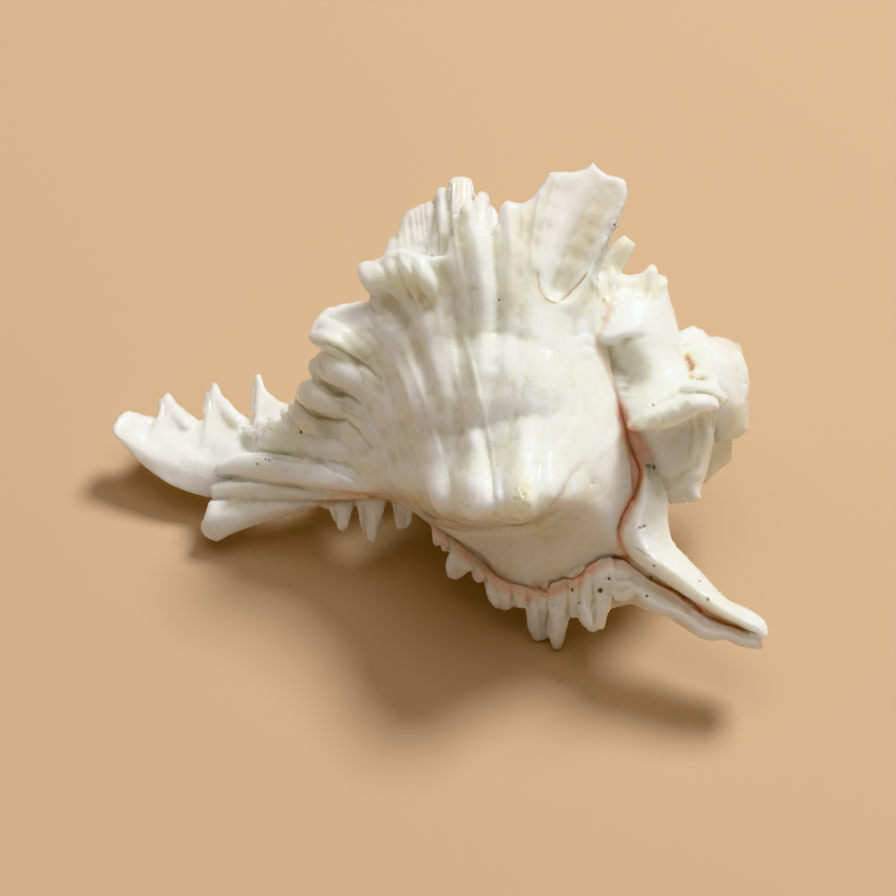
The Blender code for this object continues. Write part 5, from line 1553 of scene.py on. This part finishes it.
# Buff strokes: painted shade in the hollow spoon of the tall frond, and a buff tone on the top of the
# fan, the node and the grey frond
BUFF_TONE_AND_SPOON_SHADE = [
    [(562, 284, 4.0, 0.7), (574, 258, 5.0, 1.0), (590, 224, 5.0, 0.9), (604, 198, 4.0, 0.4)],
    [(505, 320, 4.0, 0.2), (520, 260, 6.0, 0.6), (533, 215, 4.0, 0.4)],
    [(515, 485, 4.0, 0.2), (524, 500, 4.0, 0.7), (530, 510, 3.0, 0.4)],
    [(630, 240, 3.0, 1.0), (612, 268, 3.0, 0.8)],
]
# Thin lines: grid place and how strong the line is there.
SUTURE_LINE = [
    (607, 368, 0.0), (613, 381, 0.15), (618, 396, 0.3), (620, 408, 0.5), (624, 422, 0.7),
    (629, 443, 0.8), (634, 456, 1.0), (640, 470, 1.0), (639, 482, 1.0), (634, 496, 0.9),
    (627, 508, 0.9), (622, 517, 0.9), (618.5, 529, 0.7), (618, 536, 0.3), (621, 545, 0.2),
    (628, 557, 0.4),
]
LIP_LINE = [
    (428, 523, 0.0), (434, 526, 0.2), (445, 533, 0.4), (457, 541, 0.3), (471, 552, 0.4),
    (480, 559, 0.2), (488, 566, 0.8), (495, 574, 0.6), (504, 579, 0.3), (518, 584, 0.5),
    (533, 587, 0.2), (540, 587, 0.6), (543, 595, 0.5), (548, 585, 0.6), (552, 582, 0.8),
    (559, 581, 0.6), (563, 577, 0.8), (573, 579, 0.6), (580, 575, 0.9), (583, 572, 0.8),
    (587, 567, 0.5), (588, 563, 0.6), (592, 563, 0.6), (601, 558, 0.8), (613, 557, 0.8),
    (620, 558, 0.9), (627, 561, 0.8), (636, 570, 0.7), (648, 578, 0.8), (660, 584, 0.7),
    (677, 592, 1.0), (693, 603, 1.0), (707, 616, 1.0), (716, 619, 1.0), (724, 623, 1.0),
    (740, 628, 0.9), (752, 632, 0.7), (760, 636, 0.0),
]
SPOON_LINE = [
    (537, 268, 0.0), (538, 276, 0.4), (540, 290, 0.5), (545, 298, 0.5), (551, 302, 0.9),
    (558, 302, 1.0), (567, 296, 0.8), (575, 287, 0.6), (581, 281, 0.9), (585, 276, 1.0),
    (588, 270, 0.0),
]
NODE_LINES = [
    [(418, 507, 0.0), (426, 513, 0.5), (434, 518, 0.5), (446, 519, 0.3), (457, 523, 0.6),
     (470, 526, 0.6), (484, 525, 0.3), (495, 524, 0.5), (512, 525, 0.6), (524, 525, 0.4),
     (534, 519, 0.0)],
    [(424, 518, 0.0), (436, 524, 0.5), (450, 528, 0.5), (464, 531, 0.3), (480, 531, 0.0)],
    [(436, 530, 0.0), (452, 538, 0.4), (468, 550, 0.3), (480, 556, 0.0)],
    [(634, 547, 0.0), (637, 548, 0.5), (646, 555, 0.5), (653, 556, 0.3), (660, 559, 0.5),
     (665, 571, 0.0)],
    [(637, 530, 0.0), (639, 528, 0.9), (646, 526, 0.7), (648, 525, 0.0)],
]
CROWN_LINE = [
    (596, 275, 0.0), (602, 291, 0.2), (612, 303, 0.3), (607, 311, 0.3), (603, 318, 0.2),
    (601, 322, 0.0),
]
LINES = {
    "suture_line": [SUTURE_LINE],
    "lip_line": [LIP_LINE, CROWN_LINE],
    "spoon_line": [SPOON_LINE] + NODE_LINES,
}
LINE_REACH = 1.6                # how far a line is kept to its sides, mm
SALMON_STRAY = 0.4              # how far the salmon's edges stray, mm
SALMON_STRENGTH = 0.85
# cream and orange are stains; buff and cool also hold painted shade and painted light
STAINS_AND_PAINTED_LIGHT = {
    # strokes and how far their edges stray, mm
    "orange": (ORANGE, 0.3),
    "cream": (CREAM, 1.0),
    "buff_and_spoon_shade": (BUFF_TONE_AND_SPOON_SHADE, 1.0),
    "cool_and_painted_light": (COOL_TONE_AND_PAINTED_LIGHT, 1.0),
}


def beside(places, paths):
    """How far each place is to the left of the nearest line, in mm, and that line's strength."""
    away = np.full(len(places), 1e9)
    side = np.zeros(len(places))
    strength = np.zeros(len(places))
    for path in paths:
        gap, left, values = nearest(places, np.array(path, float))
        nearer = gap < away
        away[nearer] = gap[nearer]
        side[nearer] = left[nearer]
        strength[nearer] = values[nearer, 0]
    return side, strength * (1 - ramp(away, 0.6 * LINE_REACH, 0.4 * LINE_REACH))


def store(mesh, name, values):
    """Keeps one value for each point of a mesh under a name."""
    layer = mesh.attributes.new(name, "FLOAT", "POINT")
    layer.data.foreach_set("value", values.astype(np.float32))


points, normals = read(shell.data)
ends = edges_of(shell.data)
places = to_drawing(points)[0]
front = blurred(seen_by_eye(shell.data, points, normals), ends, 2)[:, 0]
jitter = np.column_stack([lattice_noise(points / MM, 1.6, seed) for seed in (51, 52)])
uneven = 0.8 + 0.3 * lattice_noise(points / MM, 3.0, 53)
salmon = np.sqrt(np.clip(strokes(places + SALMON_STRAY * jitter, SALMON), 0, 1)) * uneven
store(shell.data, "salmon", np.clip(SALMON_STRENGTH * salmon, 0, 1) * front)
for name, (paths, stray) in STAINS_AND_PAINTED_LIGHT.items():
    store(shell.data, name, np.clip(strokes(places + stray * jitter, paths), 0, 1) * front)
for name, paths in LINES.items():
    side, strength = beside(places, paths)
    store(shell.data, name, side)
    store(shell.data, name + "_strength", strength * front)
print("stains on", int((front > 0.5).sum()), "points")

# %% Painted shade in the hollows, and the polished mouth
# hollow and valley say how far the skin bends inwards; the material paints these places darker beige
# as painted shade in creases and broad valleys
BENDS = [
    # name, rounds of blur that it is measured with, and how strongly it counts
    ("hollow", 4, 7),
    ("valley", 30, 1.2),
]
MOUTH_FADE = 5                  # mm

drawing = shell.data.attributes.new("drawing", "FLOAT_VECTOR", "POINT")
flat = np.column_stack([places, np.zeros(len(places))])
drawing.data.foreach_set("vector", flat.astype(np.float32).ravel())
store(shell.data, "front", front)
for name, rounds, strength in BENDS:
    bend = ((blurred(points, ends, rounds) - points) * normals).sum(1) / MM
    store(shell.data, name, np.clip(bend * strength, -1, 1))
    print(name, "bends, mm:", round(float(bend.std()), 3))
inside = 1 - ramp(from_mouth(points, 0), SMOOTH_MOUTH - MOUTH_FADE, MOUTH_FADE)
store(shell.data, "mouth", inside * (1 - front))

# %% [markdown]
# ## The finish
#
# Bleached shell is limy white and slightly see-through at its thin edges, with a thin gloss that
# the weather has dulled in patches. One Principled shader does this: a base colour mixed from
# whites, creams and stains, with painted shade in hollows, pits and the spoon and painted light on
# some shaded parts, light that travels a few millimetres under the surface, and a rough gloss
# with a smoother coat. A photograph of a shell could be wrapped round it instead, but it would
# carry its own light and shadow, and it would end at the first frond.

# %% Node helpers
LINE_STRAY = 0.25               # how far a thin line wanders to each side, mm
DOT_STRAY = 0.45                # how uneven a dot's edge is, mm
DOT_LUMPS = 0.8                 # size of that unevenness, mm

finish = bpy.data.materials.new("bleached_shell_finish")
finish.use_nodes = True
tree = finish.node_tree
links = tree.links
bsdf = tree.nodes["Principled BSDF"]


def node(kind, **settings):
    """A new node with some of its settings."""
    made = tree.nodes.new(kind)
    for name, value in settings.items():
        setattr(made, name, value)
    return made


def stored(name):
    """The values kept on the mesh under a name."""
    return node("ShaderNodeAttribute", attribute_name=name).outputs["Fac"]


def maths(operation, *values, clamp=False):
    """The outcome of a sum. Each value is a number or another node's outcome."""
    made = node("ShaderNodeMath", operation=operation, use_clamp=clamp)
    for socket, value in zip(made.inputs, values):
        if isinstance(value, (int, float)):
            socket.default_value = value
        else:
            links.new(value, socket)
    return made.outputs[0]


def scaled(value, by, add=0.0):
    """A value times a number, plus another, kept between 0 and 1."""
    return maths("MULTIPLY_ADD", value, by, add, clamp=True)


def mixed(base, colour, amount, strength=1.0):
    """The base colour with another over it, as strong as the amount says."""
    mix = node("ShaderNodeMix", data_type="RGBA")
    if strength != 1.0:
        amount = scaled(amount, strength)
    links.new(amount, mix.inputs["Factor"])
    if isinstance(base, tuple):
        mix.inputs[6].default_value = (*base, 1)
    else:
        links.new(base, mix.inputs[6])
    mix.inputs[7].default_value = (*colour, 1)
    return mix.outputs[2]


def noise(size, detail=2.0):
    """A noise node with lumps of about the given size in mm."""
    made = node("ShaderNodeTexNoise")
    made.inputs["Scale"].default_value = 1 / (size * MM)
    made.inputs["Detail"].default_value = detail
    links.new(node("ShaderNodeTexCoord").outputs["Object"], made.inputs["Vector"])
    return made


def speckle(size, detail=3.0, low=0.0, high=1.0, least=0.0, most=1.0):
    """Noise whose values from low to high are stretched to run from the least to the most."""
    spread = node("ShaderNodeMapRange")
    ends = {"From Min": low, "From Max": high, "To Min": least, "To Max": most}
    for name, value in ends.items():
        spread.inputs[name].default_value = value
    links.new(noise(size, detail).outputs["Fac"], spread.inputs["Value"])
    return spread.outputs["Result"]


def drawn_line(name, width):
    """Where a stored line runs, as wide as the width in mm and a little unsteady."""
    wander = maths("MULTIPLY_ADD", speckle(1.1, detail=2.0), 2 * LINE_STRAY, stored(name))
    away = maths("ABSOLUTE", maths("SUBTRACT", wander, LINE_STRAY))
    near = scaled(away, -1 / width, 1.0)
    return maths("MULTIPLY", scaled(near, 2.0), stored(name + "_strength"))


def dots(pits):
    """Small uneven dark spots at the pits, painted shade inside the holes with a brown stain: their
    grid places, with a radius in mm.
    """
    shift = node("ShaderNodeVectorMath", operation="MULTIPLY_ADD")
    links.new(noise(DOT_LUMPS).outputs["Color"], shift.inputs[0])
    shift.inputs[1].default_value = (2 * DOT_STRAY, 2 * DOT_STRAY, 0.0)
    shift.inputs[2].default_value = (-DOT_STRAY, -DOT_STRAY, 0.0)
    where = node("ShaderNodeVectorMath", operation="ADD")
    drawing = node("ShaderNodeAttribute", attribute_name="drawing")
    links.new(drawing.outputs["Vector"], where.inputs[0])
    links.new(shift.outputs[0], where.inputs[1])
    total = None
    for a, b, radius, _ in pits:
        away = node("ShaderNodeVectorMath", operation="DISTANCE")
        links.new(where.outputs[0], away.inputs[0])
        away.inputs[1].default_value = (*on_drawing((a, b)), 0)
        spot = scaled(away.outputs["Value"], -3.0 / radius, 3.0)
        total = spot if total is None else maths("MAXIMUM", total, spot)
    return maths("MULTIPLY", total, stored("front"))


print("material:", finish.name)

# %% Colours
WHITE = (0.91, 0.925, 0.85)
COOL_WHITE = (0.94, 0.99, 1.0)
CREAM_WHITE = (0.88, 0.85, 0.64)
BUFF = (0.72, 0.66, 0.49)
BEIGE = (0.66, 0.57, 0.45)
SALMON_PINK = (0.90, 0.37, 0.20)
STAIN_ORANGE = (0.80, 0.50, 0.25)
RUST = (0.66, 0.27, 0.10)
DIRT = (0.24, 0.10, 0.04)
OCHRE = (0.36, 0.26, 0.12)
DOT = (0.26, 0.20, 0.13)
MOUTH_WHITE = (0.86, 0.80, 0.72)
LINE_COLOURS = {
    # colour beside the line, its width in mm and how strong; then the same for its core
    "suture_line": (RUST, 0.75, 0.40, DIRT, 0.20, 0.55),
    "lip_line": (RUST, 0.50, 0.30, DIRT, 0.18, 0.55),
    "spoon_line": (OCHRE, 0.50, 0.35, OCHRE, 0.24, 0.55),
}

LAYERS = [
    # colour, where it lies and how strong it is, from the lowest layer up
    (COOL_WHITE, speckle(14, low=0.40, high=0.62), 1.0),
    (CREAM_WHITE, speckle(9, low=0.45, high=0.75), 0.45),
    # cool white: partly the shell's own tone, partly painted light on shaded parts
    (COOL_WHITE, stored("cool_and_painted_light"), 0.9),
    # painted shade: darker beige in the broad valleys
    (BEIGE, stored("valley"), 0.12),
    (CREAM_WHITE, stored("cream"), 0.75),
    # buff: painted shade in the spoon, and a buff tone elsewhere
    (BUFF, stored("buff_and_spoon_shade"), 0.85),
    (SALMON_PINK, stored("salmon"), 0.95),
    (STAIN_ORANGE, stored("orange"), 0.8),
    # painted shade: darker beige in the creases
    (BEIGE, stored("hollow"), 0.35),
    (MOUTH_WHITE, stored("mouth"), 0.8),
]
DOT_STRENGTH = 0.75

colour = WHITE
for over, where, strength in LAYERS:
    colour = mixed(colour, over, where, strength)
for name, (beside_it, wide, pale, core, thin, dark) in LINE_COLOURS.items():
    colour = mixed(colour, beside_it, drawn_line(name, wide), pale)
    colour = mixed(colour, core, drawn_line(name, thin), dark)
# dark spots at the pits: painted shade inside the holes, with a brown stain
colour = mixed(colour, DOT, dots(PITS[:DARKENED_PITS]), DOT_STRENGTH)
links.new(colour, bsdf.inputs["Base Color"])
print("layers of colour:", len(LAYERS), "and lines:", len(LINES))

# %% Gloss, and light under the surface
GLOSS = {
    "IOR": 1.5,
    "Subsurface Weight": 1.0,
    "Subsurface Radius": (1.0, 1.0, 0.94),
    "Subsurface Scale": 0.006,
    "Coat Weight": 0.8,
    "Coat Roughness": 0.07,
}
SMOOTHEST = 0.28                # roughness where the gloss is best kept
ROUGHEST = 0.55                 # and where the weather has dulled it

for name, value in GLOSS.items():
    bsdf.inputs[name].default_value = value
rough = speckle(3.0, low=0.35, high=0.65, least=SMOOTHEST, most=ROUGHEST)
links.new(rough, bsdf.inputs["Roughness"])
print("subsurface, mm:", GLOSS["Subsurface Scale"] / MM)

# %% Fine grain
BUMPS = [
    # size mm, height mm
    (1.8, 0.09), (0.9, 0.05), (0.35, 0.02),
]
height = None
for size, tall in BUMPS:
    layer = scaled(speckle(size, detail=2.0), tall)
    height = layer if height is None else maths("ADD", height, layer)
grain = node("ShaderNodeBump")
grain.inputs["Distance"].default_value = MM
grain.inputs["Strength"].default_value = 1.0
links.new(height, grain.inputs["Height"])
links.new(grain.outputs["Normal"], bsdf.inputs["Normal"])
links.new(grain.outputs["Normal"], bsdf.inputs["Coat Normal"])
shell.data.materials.clear()
shell.data.materials.append(finish)
print("grain layers:", len(BUMPS))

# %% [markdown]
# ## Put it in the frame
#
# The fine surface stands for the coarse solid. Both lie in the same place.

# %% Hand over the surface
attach(shell, "root")
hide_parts("murex_shell")
